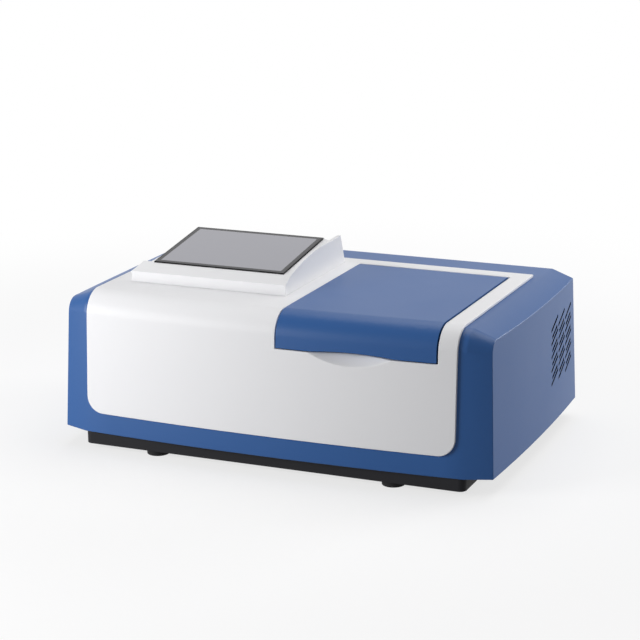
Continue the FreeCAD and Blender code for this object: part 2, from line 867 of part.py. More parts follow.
def foot_places():
    x = s.base_half - s.foot_inset_x
    y0 = back_at(s.foot_inset_y)
    y1 = rear - s.foot_inset_y
    return [(-x, y0), (x, y0), (-x, y1), (x, y1)]


def make_feet():
    feet = []
    screws = []
    head_low = s.foot_height / 2 - s.screw_head
    for x, y in foot_places():
        disc = rod("foot", "z", x, y, 0, s.foot_radius, s.foot_height)
        sink = rod("foot_sink", "z", x, y, -1, s.screw_head_radius + 1, s.foot_height / 2 + 1)
        bore = rod("foot_bore", "z", x, y, -1, s.screw_radius + 0.15, s.foot_height + 2)
        feet.append(cut("foot_cut", disc, sink, bore))
        head = rod("screw_head", "z", x, y, head_low, s.screw_head_radius, s.screw_head - 0.05)
        shank = rod("screw_shank", "z", x, y, head_low, s.screw_radius, s.screw_length)
        screws.append(fuse("screw", head, shank))
    node("rubber_feet", fuse("rubber_feet", *feet))
    node("foot_screws", fuse("foot_screws", *screws))


def make_bench():
    low = up_at(s.bench_height)
    y0 = back_at(s.bench_front)
    y1 = back_at(s.bench_rear)
    node("optical_bench", block("optical_bench", s.bench_left, s.bench_right, y0, y1, low, bench_top))
    pillars = []
    for x in (s.bench_left + 2 * s.pillar_inset, s.bench_right - 2 * s.pillar_inset):
        for y in (y0 + s.pillar_inset, y1 - s.pillar_inset):
            pillars.append(rod("pillar", "z", x, y, tray_floor, s.pillar_radius, low - tray_floor))
    node("bench_pillars", fuse("bench_pillars", *pillars))


mono_floor = bench_top + s.mono_wall
gear_low = mono_floor + s.motor_height + 4
pitch_radius = s.gear_module * s.gear_teeth / 2
pinion_radius = s.gear_module * s.pinion_teeth / 2
grating_y = back_at(s.grating_y)
pinion_y = grating_y - pitch_radius - pinion_radius
table_top = beam - s.grating_size / 2 - 1
table_low = table_top - 4


def gear_points(teeth, count, facing, shift):
    """Involute tooth outline: 'count' teeth round a direction, on a wheel that would have 'teeth'."""
    module = SIZES["gear_module"]
    pressure = math.radians(20)
    pitch = module * teeth / 2
    base = pitch * math.cos(pressure)
    tip = pitch + module
    foot = pitch - 1.25 * module
    involute = math.tan(pressure) - pressure
    thin = SIZES["gear_backlash"] / (4 * pitch)
    points = []
    for number in range(count):
        centre = facing + (number - (count - 1) / 2 + shift) * 2 * math.pi / teeth
        flank = []
        for share in (0.0, 0.5, 1.0):
            radius = max(base, foot) + (tip - max(base, foot)) * share
            angle = math.acos(min(1.0, base / radius))
            half = math.pi / (2 * teeth) + involute - (math.tan(angle) - angle) - thin
            flank.append((radius, half))
        flank.insert(0, (foot, flank[0][1]))
        points += [(radius, centre - half) for radius, half in flank]
        points += [(radius, centre + half) for radius, half in reversed(flank)]
    return [(radius * math.cos(angle), radius * math.sin(angle)) for radius, angle in points]


def polygon_solid(points, x, y, z, height):
    corners = [Vector(x + u, y + v, z) for u, v in points]
    return Part.Face(Part.makePolygon(corners + corners[:1])).extrude(Vector(0, 0, height))


def make_grating_drive():
    x = SIZES["grating_x"]
    y = grating_y.value
    thick = SIZES["gear_thick"]
    z = gear_low.value
    points = gear_points(SIZES["gear_teeth"], int(SIZES["sector_teeth"]), -math.pi / 2, 0)
    hub = SIZES["shaft_radius"] + 5
    first = math.atan2(points[0][1], points[0][0])
    last = math.atan2(points[-1][1], points[-1][0])
    points.append((hub * math.cos(last), hub * math.sin(last)))
    points.append((hub * math.cos(first), hub * math.sin(first)))
    blade = polygon_solid(points, x, y, z, thick)
    boss = Part.makeCylinder(hub, thick + 2, Vector(x, y, z - 1))
    bore = Part.makeCylinder(SIZES["shaft_radius"], thick + 4, Vector(x, y, z - 2))
    sector = doc.addObject("Part::Feature", "sector_gear")
    sector.Shape = blade.fuse(boss).cut(bore).removeSplitter()
    node("sector_gear", sector)
    wheel = polygon_solid(
        gear_points(SIZES["pinion_teeth"], int(SIZES["pinion_teeth"]), math.pi / 2, 0),
        x, pinion_y.value, z - 1, thick + 2,
    )
    axle = Part.makeCylinder(
        SIZES["motor_shaft"], thick + 1 + 22, Vector(x, pinion_y.value, z - 22),
    )
    pinion = doc.addObject("Part::Feature", "drive_pinion")
    pinion.Shape = wheel.fuse(axle)
    node("drive_pinion", pinion)
    turret_foot = mono_floor + 0.3
    shaft_length = table_low - turret_foot
    shaft = rod("turret_shaft", "z", s.grating_x, grating_y, turret_foot, s.shaft_radius, shaft_length)
    table = rod("turret_table", "z", s.grating_x, grating_y, table_low, s.grating_size * 0.6, 4)
    node("grating_turret", fuse("grating_turret", shaft, table))
    half = s.grating_size / 2
    node("diffraction_grating", block(
        "diffraction_grating", s.grating_x - s.grating_thick / 2, s.grating_x + s.grating_thick / 2,
        grating_y - half, grating_y + half, table_top, table_top + s.grating_size,
    ))
    motor = new_body("grating_motor")
    side = s.motor_half
    square = rounded(s.grating_x - side, s.grating_x + side, pinion_y - side, pinion_y + side, as_size(4))
    feature(motor, "Pad", "XY", square, mono_floor, mono_floor + s.motor_height)
    feature(
        motor, "Pocket", "XY", circle(s.grating_x, pinion_y, s.motor_shaft + s.running_gap),
        mono_floor + 4, mono_floor + s.motor_height + 1,
    )


def make_monochromator():
    body = new_body("monochromator_housing")
    y0 = back_at(s.mono_front)
    y1 = back_at(s.mono_rear)
    wall = s.mono_wall
    high = bench_top + s.mono_height
    feature(body, "Pad", "XY", rectangle(s.mono_left, s.mono_right, y0, y1), bench_top, high)
    inside = rectangle(s.mono_left + wall, s.mono_right - wall, y0 + wall, y1 - wall)
    feature(body, "Pocket", "XY", inside, mono_floor, high + 1)
    bush = circle(s.grating_x, grating_y, s.grating_bush)
    feature(body, "Pad", "XY", bush, mono_floor - 1, mono_floor + 16)
    bore = circle(s.grating_x, grating_y, s.shaft_radius + s.running_gap)
    feature(body, "Pocket", "XY", bore, mono_floor, mono_floor + 17)
    plates = []
    for beam_y in (back_at(s.slit_beam), back_at(s.sample_beam)):
        light = rectangle(beam_y - 6, beam_y + 6, beam - 10, beam + 10)
        feature(body, "Pocket", "YZ", light, s.mono_right - wall - 1, s.mono_right + 1)
        plate = block(
            "slit_plate", s.mono_right + 0.1, s.mono_right + 1.6,
            beam_y - 12, beam_y + 12, beam - 16, beam + 16,
        )
        gap = block(
            "slit_gap", s.mono_right - 1, s.mono_right + 3,
            beam_y - 0.5, beam_y + 0.5, beam - 7, beam + 7,
        )
        plates.append(cut("slit", plate, gap))
    node("slit_plates", fuse("slit_plates", *plates))
    node("monochromator_cover", block(
        "monochromator_cover", s.mono_left, s.mono_right, y0, y1, high + 0.1, high + 0.1 + s.cover_thick,
    ))
    mirrors = []
    mounts = []
    x = s.mono_left + wall
    for mirror_y in (back_at(s.slit_beam - 4), back_at(s.sample_beam - 4)):
        half = s.mirror_radius
        mounts.append(block(
            "mount", x + 4, x + 10, mirror_y - half, mirror_y + half, mono_floor, beam + half,
        ))
        mirrors.append(rod("mirror", "x", x + 10.1, mirror_y, beam, half, s.mirror_thick))
    node("mirror_mounts", fuse("mirror_mounts", *mounts))
    node("concave_mirrors", fuse("concave_mirrors", *mirrors))


def make_filter_wheel():
    y = back_at(s.slit_beam)
    z = beam - s.filter_orbit
    x = s.wheel_x
    disc = rod("wheel_disc", "x", x, y, z, s.wheel_radius, s.wheel_thick)
    axle = rod("wheel_axle", "x", x, y, z, 2, s.wheel_thick + 14)
    holes = []
    filters = []
    for number in range(int(SIZES["filter_count"])):
        angle = 360.0 * number / SIZES["filter_count"] + 90
        hole_y = y + s.filter_orbit * math.cos(math.radians(angle))
        hole_z = z + s.filter_orbit * math.sin(math.radians(angle))
        seat = s.filter_radius + s.running_gap
        holes.append(rod("filter_hole", "x", x - 1, hole_y, hole_z, seat, s.wheel_thick + 2))
        filters.append(rod("filter", "x", x + 0.5, hole_y, hole_z, s.filter_radius, s.wheel_thick - 1))
    node("filter_wheel", fuse("filter_wheel", cut("wheel_cut", disc, *holes), axle))
    node("optical_filters", fuse("optical_filters", *filters))
    motor_x = x + s.wheel_thick + 2
    can = rod("motor_can", "x", motor_x, y, z, s.wheel_motor_radius, s.wheel_motor_length)
    socket = rod("motor_socket", "x", motor_x - 1, y, z, 2 + s.running_gap, 16)
    node("filter_motor", cut("filter_motor", can, socket))
    saddle = block(
        "saddle", motor_x + 3, motor_x + s.wheel_motor_length - 3,
        y - s.wheel_motor_radius, y + s.wheel_motor_radius, bench_top, z - 2,
    )
    seat = rod("saddle_seat", "x", motor_x, y, z, s.wheel_motor_radius + 0.1, s.wheel_motor_length)
    node("filter_motor_saddle", cut("filter_motor_saddle", saddle, seat))


def make_lamps():
    y0 = back_at(s.lamp_front)
    y1 = back_at(s.lamp_rear)
    high = bench_top + s.lamp_height
    wall = s.lamp_wall
    body = new_body("lamp_housing")
    feature(body, "Pad", "XY", rectangle(s.lamp_left, s.bench_right, y0, y1), bench_top, high)
    inside = rectangle(s.lamp_left + wall, s.bench_right - wall, y0 + wall, y1 - wall)
    feature(body, "Pocket", "XY", inside, bench_top + wall, high + 1)
    y = back_at(s.slit_beam)
    light = rectangle(y - 9, y + 9, beam - 9, beam + 9)
    feature(body, "Pocket", "YZ", light, s.lamp_left - 1, s.lamp_left + wall + 1)
    plate = block("lamp_cover_plate", s.lamp_left, s.bench_right, y0, y1, high + 0.1, high + 0.1 + wall)
    slots = []
    for number in range(5):
        slot_x = s.lamp_left + 14 + 15 * number
        slots.append(block("cover_slot", slot_x, slot_x + 6, y0 + 14, y1 - 14, high - 1, high + 5))
    node("lamp_cover", cut("lamp_cover", plate, *slots))
    floor = bench_top + wall
    x = s.bench_right - 34
    tube_low = beam - s.tube_height / 2 + 6
    node("deuterium_lamp", rod("deuterium_lamp", "z", x, y, tube_low, s.tube_radius, s.tube_height - 12))
    bulb_x = s.lamp_left + 34
    bulb_y = y1 - 20
    bulb_low = beam - s.bulb_height / 2
    node("tungsten_lamp", rod("tungsten_lamp", "z", bulb_x, bulb_y, bulb_low, s.bulb_radius, s.bulb_height))
    node("lamp_sockets", fuse(
        "lamp_sockets",
        rod("tube_socket", "z", x, y, floor, s.tube_radius, tube_low - floor - 0.1),
        rod("bulb_socket", "z", bulb_x, bulb_y, floor, s.bulb_radius + 2, bulb_low - floor - 0.1),
    ))
    mirror_x = s.lamp_left + 20
    half = s.swing_mirror / 2
    low = beam - half
    shaft = rod("swing_shaft", "z", mirror_x, y, floor + 12, 2, low - floor - 12)
    table = rod("swing_table", "z", mirror_x, y, low - 3, 6, 3)
    face = block("swing_face", mirror_x - half, mirror_x + half, y - 1.5, y + 1.5, low, beam + half)
    node("source_mirror", fuse("source_mirror", shaft, table, face))
    can = rod("swing_motor", "z", mirror_x, y, floor, 10, low - floor - 8)
    hole = rod("swing_hole", "z", mirror_x, y, floor + 10, 2 + s.running_gap, low - floor)
    node("source_mirror_motor", cut("source_mirror_motor", can, hole))


def make_beam_optics():
    x = (s.mono_right + s.bay_left) / 2
    posts = []
    for label, beam_y in (("beam_splitter", s.sample_beam), ("fold_mirror", s.reference_beam)):
        y = back_at(beam_y)
        along = 8.5
        across = 0.7
        corners = [
            (x - along + across, y - along - across), (x + along + across, y + along - across),
            (x + along - across, y + along + across), (x - along - across, y - along + across),
        ]
        node(label, prism(label, "XY", corners, beam - 14, beam + 14))
        posts.append(rod("post", "z", x, y, bench_top, 10, beam - 14.1 - bench_top))
    node("optics_posts", fuse("optics_posts", *posts))


def make_detectors():
    heads = []
    diodes = []
    x0 = s.bay_right + 0.3
    x1 = x0 + 24
    for beam_y in (s.sample_beam, s.reference_beam):
        y = back_at(beam_y)
        head = block("detector_head", x0, x1, y - 15, y + 15, beam - 20, beam + 20)
        foot = block("detector_foot", x0 + 4, x1 - 4, y - 10, y + 10, bench_top, beam - 20)
        bore = rod("detector_bore", "x", x0 - 1, y, beam, 8, 13)
        heads.append(cut("detector", fuse("detector_body", head, foot), bore))
        diodes.append(rod("diode", "x", x0 + 8.8, y, beam, 4.5, 3))
    node("detector_heads", fuse("detector_heads", *heads))
    node("photodiodes", fuse("photodiodes", *diodes))
    node("detector_board", block(
        "detector_board", x1 + 0.1, x1 + 0.1 + s.board_thick,
        back_at(s.reference_beam) - 18, back_at(s.sample_beam) + 18, beam - 28, beam + 24,
    ))


def make_electronics():
    board_low = tray_floor + s.standoff_height
    x0, x1, y0, y1 = board_corners()
    node("power_supply", block(
        "power_supply", -s.base_half + s.supply_inset, s.bench_left - 12,
        y1 + s.board_gap, rear - s.supply_rear_gap, tray_floor, up_at(s.supply_top),
    ))
    board = block("board_plate", x0, x1, y0, y1, board_low, board_low + s.board_thick)
    face = board_low + s.board_thick
    chip_x = x0 + s.chip_x
    chip_y = y0 + s.chip_y
    coil_x = x0 + s.coil_x
    coil_y = y0 + s.coil_y
    header_x = x0 + 12
    chips = [
        block(
            "board_chip", chip_x, chip_x + s.chip_side, chip_y, chip_y + s.chip_side, face, board_low + 5,
        ),
        block(
            "board_coil", coil_x, coil_x + s.coil_width, coil_y, coil_y + s.coil_length, face, board_low + 14,
        ),
        block("board_header", header_x, header_x + s.header_length, y1 - 14, y1 - 6, face, board_low + 11),
    ]
    node("main_board", fuse("main_board", board, *chips))


def make_display():
    slope = turned("tan", s.screen_slope)
    y0 = back_at(s.desk_front)
    y1 = back_at(s.desk_rear)
    screen_y = back_at(s.screen_front)
    screen_end = screen_y + s.screen_depth * turned("cos", s.screen_slope)
    screen_z = roof(screen_y, s.fascia_proud) + s.screen_rise

    def plane(y, lift):
        return screen_z + slope * (y - screen_y) + lift

    ledge = 2

    def side_view(inset, rear_top, front_top):
        """The housing seen from the side, with two corners of its top edge given."""
        back = y1 - inset
        return [
            (y0 + inset, roof(y0, s.fascia_proud) - inset),
            (back, roof(back, s.fascia_proud) - inset),
            (back - ledge, roof(y1, s.fascia_proud) + ledge - inset),
            rear_top, front_top,
            (y0 + inset, roof(y0, s.fascia_proud) + s.desk_lip - inset),
        ]

    def flat_top(inset):
        return side_view(
            inset, (screen_end + ledge, plane(screen_end, -inset)), (screen_y, plane(screen_y, -inset)),
        )

    def wedge(name, inset, right):
        """The housing under the glass: its side view, cut to an arch that falls away at the left."""
        side = prism(name + "_side", "YZ", flat_top(inset), s.desk_left + inset, right)
        sections = []
        for y in (y0 - 5, y1 + 5):
            low = roof(y, s.fascia_proud) - 10
            high = plane(y, -inset)
            sections.append(outline(name + "_arch", "XZ", [
                (s.desk_left + inset, low), (s.desk_right - inset, low),
                (s.desk_right - inset, high - s.rim_drop), (s.screen_right, high),
                (s.screen_left, high), (s.desk_left + inset, roof(y, s.fascia_proud) + s.desk_lip - inset),
            ], y))
        return common(name, side, loft(name + "_roof", sections, True))

    none = as_size(0)
    main = wedge("desk_outside", none, s.screen_right)
    rim_end = screen_end + ledge
    crowned = side_view(
        none, (rim_end, roof(rim_end, s.fascia_proud) + s.rim_rear, s.rim_crown),
        (screen_y, roof(screen_y, s.fascia_proud) + s.rim_front),
    )
    band = loft("desk_band", [
        outline("band_inner", "YZ", flat_top(none), s.screen_right),
        outline("band_outer", "YZ", crowned, s.desk_right),
    ], True)
    bar_rear = screen_y + s.desk_wall
    bar = prism("desk_bar", "YZ", [
        (y0, roof(y0, s.fascia_proud)), (bar_rear, roof(bar_rear, s.fascia_proud)),
        (bar_rear, plane(screen_y, 0)), (screen_y, plane(screen_y, 0)),
        (y0, roof(y0, s.fascia_proud) + s.desk_lip),
    ], s.desk_left, s.screen_right)
    bar_plan = prism("desk_bar_plan", "XY", [
        (s.desk_left, y0), (s.screen_right, y0), (s.screen_right, bar_rear),
        (s.screen_left - s.shoulder, bar_rear), (s.screen_left - s.shoulder, screen_y),
    ], top - 20, top + 60)
    outside = fuse("desk_solid", main, band, common("desk_front", bar, bar_plan))
    hollow = wedge("desk_inside", s.desk_wall, s.desk_right - s.desk_wall)
    cheek_y = back_at(s.cheek_rear)
    cheek_z = roof(cheek_y, s.fascia_proud) + s.cheek_peak
    cheek_start = rim_end - 20
    fin = prism("cheek", "YZ", [
        (cheek_start, roof(cheek_start, s.fascia_proud)), (y1 - ledge, roof(y1 - ledge, s.fascia_proud)),
        (cheek_y + 4, cheek_z - 9), (cheek_y, cheek_z),
        (rim_end, roof(rim_end, s.fascia_proud) + s.rim_rear), (cheek_start, cheek_z - 6),
    ], s.desk_right - s.cheek_width, s.desk_right)

    def tilted(name, margin, low, high):
        """A flat piece that lies along the screen's slope."""
        u = turned("cos", s.screen_slope)
        w = turned("sin", s.screen_slope)
        start = margin
        end = s.screen_depth - margin

        def at(run, lift):
            return (screen_y + run * u - lift * w, screen_z + run * w + lift * u)

        corners = [at(start, low), at(end, low), at(end, high), at(start, high)]
        return prism(name, "YZ", corners, s.screen_left + margin, s.screen_right - margin)

    glass_low = 1.5 - s.screen_thick
    panel_high = glass_low - 0.1
    panel_low = panel_high - s.panel_thick
    recess = tilted("glass_recess", -s.side_gap, glass_low, as_size(20))
    opening = tilted("panel_opening", s.panel_margin - s.side_gap, as_size(-9), as_size(10))
    walls = fuse("desk_body", cut("desk_shell", outside, hollow), fin)
    node("display_housing", cut("display_housing", walls, recess, opening))
    node("display_glass", tilted("display_glass", as_size(0), glass_low, as_size(1.5)))
    node("display_panel", tilted("display_panel", s.panel_margin, panel_low, panel_high))
    node("display_board", tilted(
        "display_board", s.panel_margin + 22, panel_low - 0.1 - s.board_thick, panel_low - 0.1,
    ))


def make_rear():
    body = new_body("rear_panel")
    clear = s.case_wall + 2 * s.side_gap
    roof_z = roof(rear, -clear)
    reach = s.corner_half - clear
    foot_half = reach - s.side_taper * (deck_top - sill)
    corner_x = (reach - s.side_taper * (roof_z - sill) - s.side_taper * bevel_slope * s.crease_half) / (
        1 - s.side_taper * bevel_slope
    )
    corner_z = roof_z - bevel_slope * (corner_x - s.crease_half)
    sheet_corners = [
        (-foot_half, deck_top + 0.1), (foot_half, deck_top + 0.1),
        (corner_x, corner_z), (s.crease_half, roof_z), (-s.crease_half, roof_z), (-corner_x, corner_z),
    ]
    feature(body, "Pad", "XZ", sheet_corners, panel_face, panel_back)
    w = s.inlet_width / 2
    h = s.inlet_height / 2
    z = up_at(s.inlet_z)
    x = s.inlet_x
    through = (panel_face - 1, panel_back + 1)
    feature(body, "Pocket", "XZ", rectangle(x - w, x + w, z - h, z + h), *through)
    fan_z = up_at(s.fan_z)
    feature(body, "Pocket", "XZ", circle(s.fan_x, fan_z, s.fan_bore), *through)
    for hole_x, hole_z in fan_corners():
        feature(body, "Pocket", "XZ", circle(hole_x, hole_z, s.screw_radius + 0.15), *through)
    for socket_x, half_w, half_h in sockets():
        hole = rectangle(socket_x - half_w, socket_x + half_w, z - half_h, z + half_h)
        feature(body, "Pocket", "XZ", hole, *through)


def sockets():
    return [(s.inlet_x + 60, as_size(7), as_size(6)), (s.inlet_x + 100, as_size(15.5), as_size(6.5))]


def fan_corners():
    pitch = s.fan_size / 2 - 5
    z = up_at(s.fan_z)
    return [(s.fan_x + i * pitch, z + k * pitch) for i in (-1.0, 1.0) for k in (-1.0, 1.0)]


def make_sockets():
    z = up_at(s.inlet_z)
    shells = []
    for socket_x, half_w, half_h in sockets():
        w = half_w - s.side_gap
        h = half_h - s.side_gap
        can = block("socket_can", socket_x - w, socket_x + w, panel_face - 12, panel_back + 0.5, z - h, z + h)
        bore = block(
            "socket_bore", socket_x - w + 1, socket_x + w - 1,
            panel_face - 9, panel_back + 1, z - h + 1, z + h - 1,
        )
        shells.append(cut("socket", can, bore))
    node("data_sockets", fuse("data_sockets", *shells))


def inlet_places():
    """Heights of the socket, the fuse drawer and the rocker in the inlet."""
    z = up_at(s.inlet_z)
    return z - 14, z - 0.5, z + 14


def make_inlet():
    socket_z, fuse_z, rocker_z = inlet_places()
    x = s.inlet_x
    z = up_at(s.inlet_z)
    w = s.inlet_width / 2
    h = s.inlet_height / 2
    gap = s.side_gap
    flange = block(
        "inlet_flange", x - w - 2, x + w + 2, panel_back + 0.1, panel_back + 2.1, z - h - 3, z + h + 3,
    )
    can = block(
        "inlet_can", x - w + gap, x + w - gap, panel_face - 20, panel_back + 1, z - h + gap, z + h - gap,
    )
    face = panel_back + 3
    socket = block("inlet_socket", x - 12, x + 12, panel_back - 15, face, socket_z - 8, socket_z + 8)
    drawer_hole = block("drawer_hole", x - 11, x + 11, panel_back - 14, face, fuse_z - 3.4, fuse_z + 3.4)
    rocker_w = s.rocker_width / 2
    rocker_h = s.rocker_height / 2
    rocker_hole = block(
        "rocker_hole", x - rocker_w, x + rocker_w, panel_back - 10, face,
        rocker_z - rocker_h - 0.3, rocker_z + rocker_h + 0.3,
    )
    pivot_y = panel_back - 2.5
    pivot_hole = rod("pivot_hole", "x", x - rocker_w - 1.5, pivot_y, rocker_z, 1.55, s.rocker_width + 3)
    shell = cut("inlet_shell", fuse("inlet_body", flange, can), socket, drawer_hole, rocker_hole, pivot_hole)
    blades = []
    for i, k in ((-7.0, -2.0), (7.0, -2.0), (0.0, 2.0)):
        blades.append(block(
            "blade", x + i - 1, x + i + 1,
            panel_back - 16, panel_back - 3, socket_z + k - 2, socket_z + k + 2,
        ))
    node("power_inlet", fuse("power_inlet", shell, *blades))
    node("fuse_drawer", block(
        "fuse_drawer", x - 10.8, x + 10.8, panel_back - 13.7, panel_back + 2.4, fuse_z - 3.2, fuse_z + 3.2,
    ))
    lean = 8.0
    c = math.cos(math.radians(lean))
    d = math.sin(math.radians(lean))
    neutral = [(-4.0, -6.5), (4.5, -9.0), (3.2, 0.0), (4.5, 9.0), (-4.0, 6.5)]
    corners = [(pivot_y + u * c - v * d, rocker_z + u * d + v * c) for u, v in neutral]
    paddle = prism("rocker_paddle", "YZ", corners, x - rocker_w + gap, x + rocker_w - gap)
    pin = rod("rocker_pin", "x", x - rocker_w - 1.2, pivot_y, rocker_z, 1.5, s.rocker_width + 2.4)
    node("power_rocker", fuse("power_rocker", paddle, pin))


def make_fan():
    x = s.fan_x
    z = up_at(s.fan_z)
    half = s.fan_size / 2
    y0 = panel_face - 0.1 - s.fan_depth
    y1 = panel_face - 0.1
    frame = block("fan_square", x - half, x + half, y0, y1, z - half, z + half)
    bore = rod("fan_tunnel", "y", x, y0 - 1, z, s.fan_bore, s.fan_depth + 2)
    tunnel = cut("fan_shroud", frame, bore)
    mount = rod("fan_mount", "y", x, y0, z, s.fan_hub - 1, 2)
    stub = rod("fan_stub", "y", x, y0, z, 1.5, 9)
    bars = [
        block("fan_bar", x - half + 1, x + half - 1, y0, y0 + 2, z - 1.5, z + 1.5),
        block("fan_bar", x - 1.5, x + 1.5, y0, y0 + 2, z - half + 1, z + half - 1),
    ]
    holes = [
        rod("fan_hole", "y", hole_x, y0 - 1, hole_z, s.screw_radius + 0.15, s.fan_depth + 2)
        for hole_x, hole_z in fan_corners()
    ]
    node("fan_frame", cut("fan_frame", fuse("fan_body", tunnel, mount, stub, *bars), *holes))
    hub = rod("rotor_hub", "y", x, y0 + 3, z, s.fan_hub, s.fan_depth - 5)
    socket = rod("rotor_socket", "y", x, y0 + 2, z, 1.5 + s.running_gap, 8)
    blades = []
    count = int(SIZES["fan_blades"])
    reach = SIZES["fan_bore"] - 1.5
    for number in range(count):
        blade = block("rotor_blade", 0, reach, 0, 1.2, 0, SIZES["fan_depth"] - 6)
        angle = 360.0 * number / count
        spin = FreeCAD.Rotation(Vector(0, 1, 0), angle)
        pitch = FreeCAD.Rotation(Vector(1, 0, 0), 35)
        blade.setExpression("Placement.Base.x", None)
        blade.setExpression("Placement.Base.y", None)
        blade.setExpression("Placement.Base.z", None)
        middle = (SIZES["fan_depth"] - 6) / 2
        turn = spin.multiply(pitch)
        offset = turn.multVec(Vector(0, -0.6, -middle))
        centre = Vector(x.value, (y0 + 3).value + (SIZES["fan_depth"] - 5) / 2, z.value)
        blade.Placement = FreeCAD.Placement(centre + offset, turn)
        blades.append(blade)
    node("fan_rotor", cut("fan_rotor", fuse("rotor_body", hub, *blades), socket))
    rings = []
    for radius in (9.0, 16.0, 23.0):
        outer = rod("guard_ring", "y", x, panel_back + 0.1, z, radius + 1, 1.6)
        inner = rod("guard_space", "y", x, panel_back - 1, z, radius - 1, 4)
        rings.append(cut("guard_loop", outer, inner))
    arms = [
        block("guard_arm", x - half + 1, x + half - 1, panel_back + 0.1, panel_back + 1.7, z - 1, z + 1),
        block("guard_arm", x - 1, x + 1, panel_back + 0.1, panel_back + 1.7, z - half + 1, z + half - 1),
    ]
    node("fan_guard", fuse("fan_guard", *rings, *arms))
    screws = []
    for hole_x, hole_z in fan_corners():
        head = rod("fan_head", "y", hole_x, panel_back + 0.1, hole_z, s.screw_head_radius, s.screw_head)
        shank_y = panel_back + 0.1 - s.screw_length
        shank = rod("fan_shank", "y", hole_x, shank_y, hole_z, s.screw_radius, s.screw_length)
        screws.append(fuse("fan_screw", head, shank))
    node("fan_screws", fuse("fan_screws", *screws))


case_outer = make_case()
make_fascia(case_outer)
make_lid()
make_hinges()
make_tub()
make_cells()
make_base()
make_feet()
make_bench()
make_monochromator()
make_grating_drive()
make_filter_wheel()
make_lamps()
make_beam_optics()
make_detectors()
make_electronics()
make_display()
make_rear()
make_sockets()
make_inlet()
make_fan()


def export_all():
    os.makedirs("parts", exist_ok=True)
    doc.recompute()
    for obj in doc.Objects:
        if "Invalid" in obj.State or "Error" in obj.State:
            raise RuntimeError(f"{obj.Label} failed: {obj.State}")
    for label, obj in nodes.items():
        if obj.Shape.isNull() or not obj.Shape.isValid():
            raise RuntimeError(f"{label} has no valid shape")
        obj.Shape.exportStep(os.path.join("parts", label + ".step"))
        print(label, len(obj.Shape.Solids), round(obj.Shape.Volume / 1000, 2))


export_all()
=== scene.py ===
import bmesh
import bpy
import json
import math
from mathutils import Matrix, Vector


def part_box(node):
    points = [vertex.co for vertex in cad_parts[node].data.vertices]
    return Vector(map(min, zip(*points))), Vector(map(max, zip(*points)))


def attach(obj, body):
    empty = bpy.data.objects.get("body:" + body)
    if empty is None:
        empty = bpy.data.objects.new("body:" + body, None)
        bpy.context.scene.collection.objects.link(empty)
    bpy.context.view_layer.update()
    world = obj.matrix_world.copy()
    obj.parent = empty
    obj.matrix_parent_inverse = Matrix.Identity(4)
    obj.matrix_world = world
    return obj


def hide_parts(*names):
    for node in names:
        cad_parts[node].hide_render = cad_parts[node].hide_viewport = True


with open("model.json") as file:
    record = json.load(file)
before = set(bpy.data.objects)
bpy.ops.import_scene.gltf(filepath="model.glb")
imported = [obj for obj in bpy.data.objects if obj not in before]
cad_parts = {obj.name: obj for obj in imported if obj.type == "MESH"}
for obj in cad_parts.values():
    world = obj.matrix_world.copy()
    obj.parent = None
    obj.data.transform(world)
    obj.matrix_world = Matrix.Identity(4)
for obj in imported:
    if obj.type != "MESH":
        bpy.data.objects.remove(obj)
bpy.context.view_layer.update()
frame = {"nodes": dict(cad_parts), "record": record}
nodes = frame["nodes"]
mm = 0.001
scene = bpy.context.scene


# Camera: solved from the straight edges of the case, in metres and degrees.
cameraSetup = {
    "place": (1.0870, -2.5136, 0.9326),
    "yaw": 23.399,
    "pitch": 15.846,
    "roll": -0.848,
    "lens": 120.0,
    "sensor": 36.0,
    "farthest": 50.0,
}


def placeCamera():
    yaw = math.radians(cameraSetup["yaw"])
    pitch = math.radians(cameraSetup["pitch"])
    roll = math.radians(cameraSetup["roll"])
    flat = math.cos(pitch)
    ahead = Vector((-math.sin(yaw) * flat, math.cos(yaw) * flat, -math.sin(pitch)))
    level = Vector((math.cos(yaw), math.sin(yaw), 0))
    upright = level.cross(ahead)
    right = level * math.cos(roll) + upright * math.sin(roll)
    up = upright * math.cos(roll) - level * math.sin(roll)
    data = bpy.data.cameras.new("studioCamera")
    data.lens = cameraSetup["lens"]
    data.sensor_width = cameraSetup["sensor"]
    data.clip_end = cameraSetup["farthest"]
    camera = bpy.data.objects.new("studioCamera", data)
    scene.collection.objects.link(camera)
    axes = Matrix((right, up, -ahead)).transposed()
    camera.matrix_world = Matrix.Translation(cameraSetup["place"]) @ axes.to_4x4()
    scene.camera = camera


# Small helpers for node trees.
def newGroup(name, inputs, outputs):
    group = bpy.data.node_groups.new(name, "ShaderNodeTree")
    interface = group.interface
    for label, kind, value in inputs:
        socket = interface.new_socket(label, in_out="INPUT", socket_type="NodeSocket" + kind)
        socket.default_value = value
    for label, kind in outputs:
        interface.new_socket(label, in_out="OUTPUT", socket_type="NodeSocket" + kind)
    start = group.nodes.new("NodeGroupInput")
    end = group.nodes.new("NodeGroupOutput")
    return group, start, end


def addNode(tree, kind, **settings):
    # A setting is an input's value where the node has that input, and otherwise its own property.
    made = tree.nodes.new(kind)
    for key, value in settings.items():
        if key in made.inputs:
            made.inputs[key].default_value = value
        else:
            setattr(made, key, value)
    return made


def addMath(tree, operation, first, second):
    made = addNode(tree, "ShaderNodeMath", operation=operation)
    for number, value in enumerate((first, second)):
        if isinstance(value, (int, float)):
            made.inputs[number].default_value = value
        else:
            tree.links.new(value, made.inputs[number])
    return made.outputs[0]


mixSockets = (0, 6, 7)  # a Mix node's factor and its two colours, which have no names of their own
noiseMiddle = 0.5


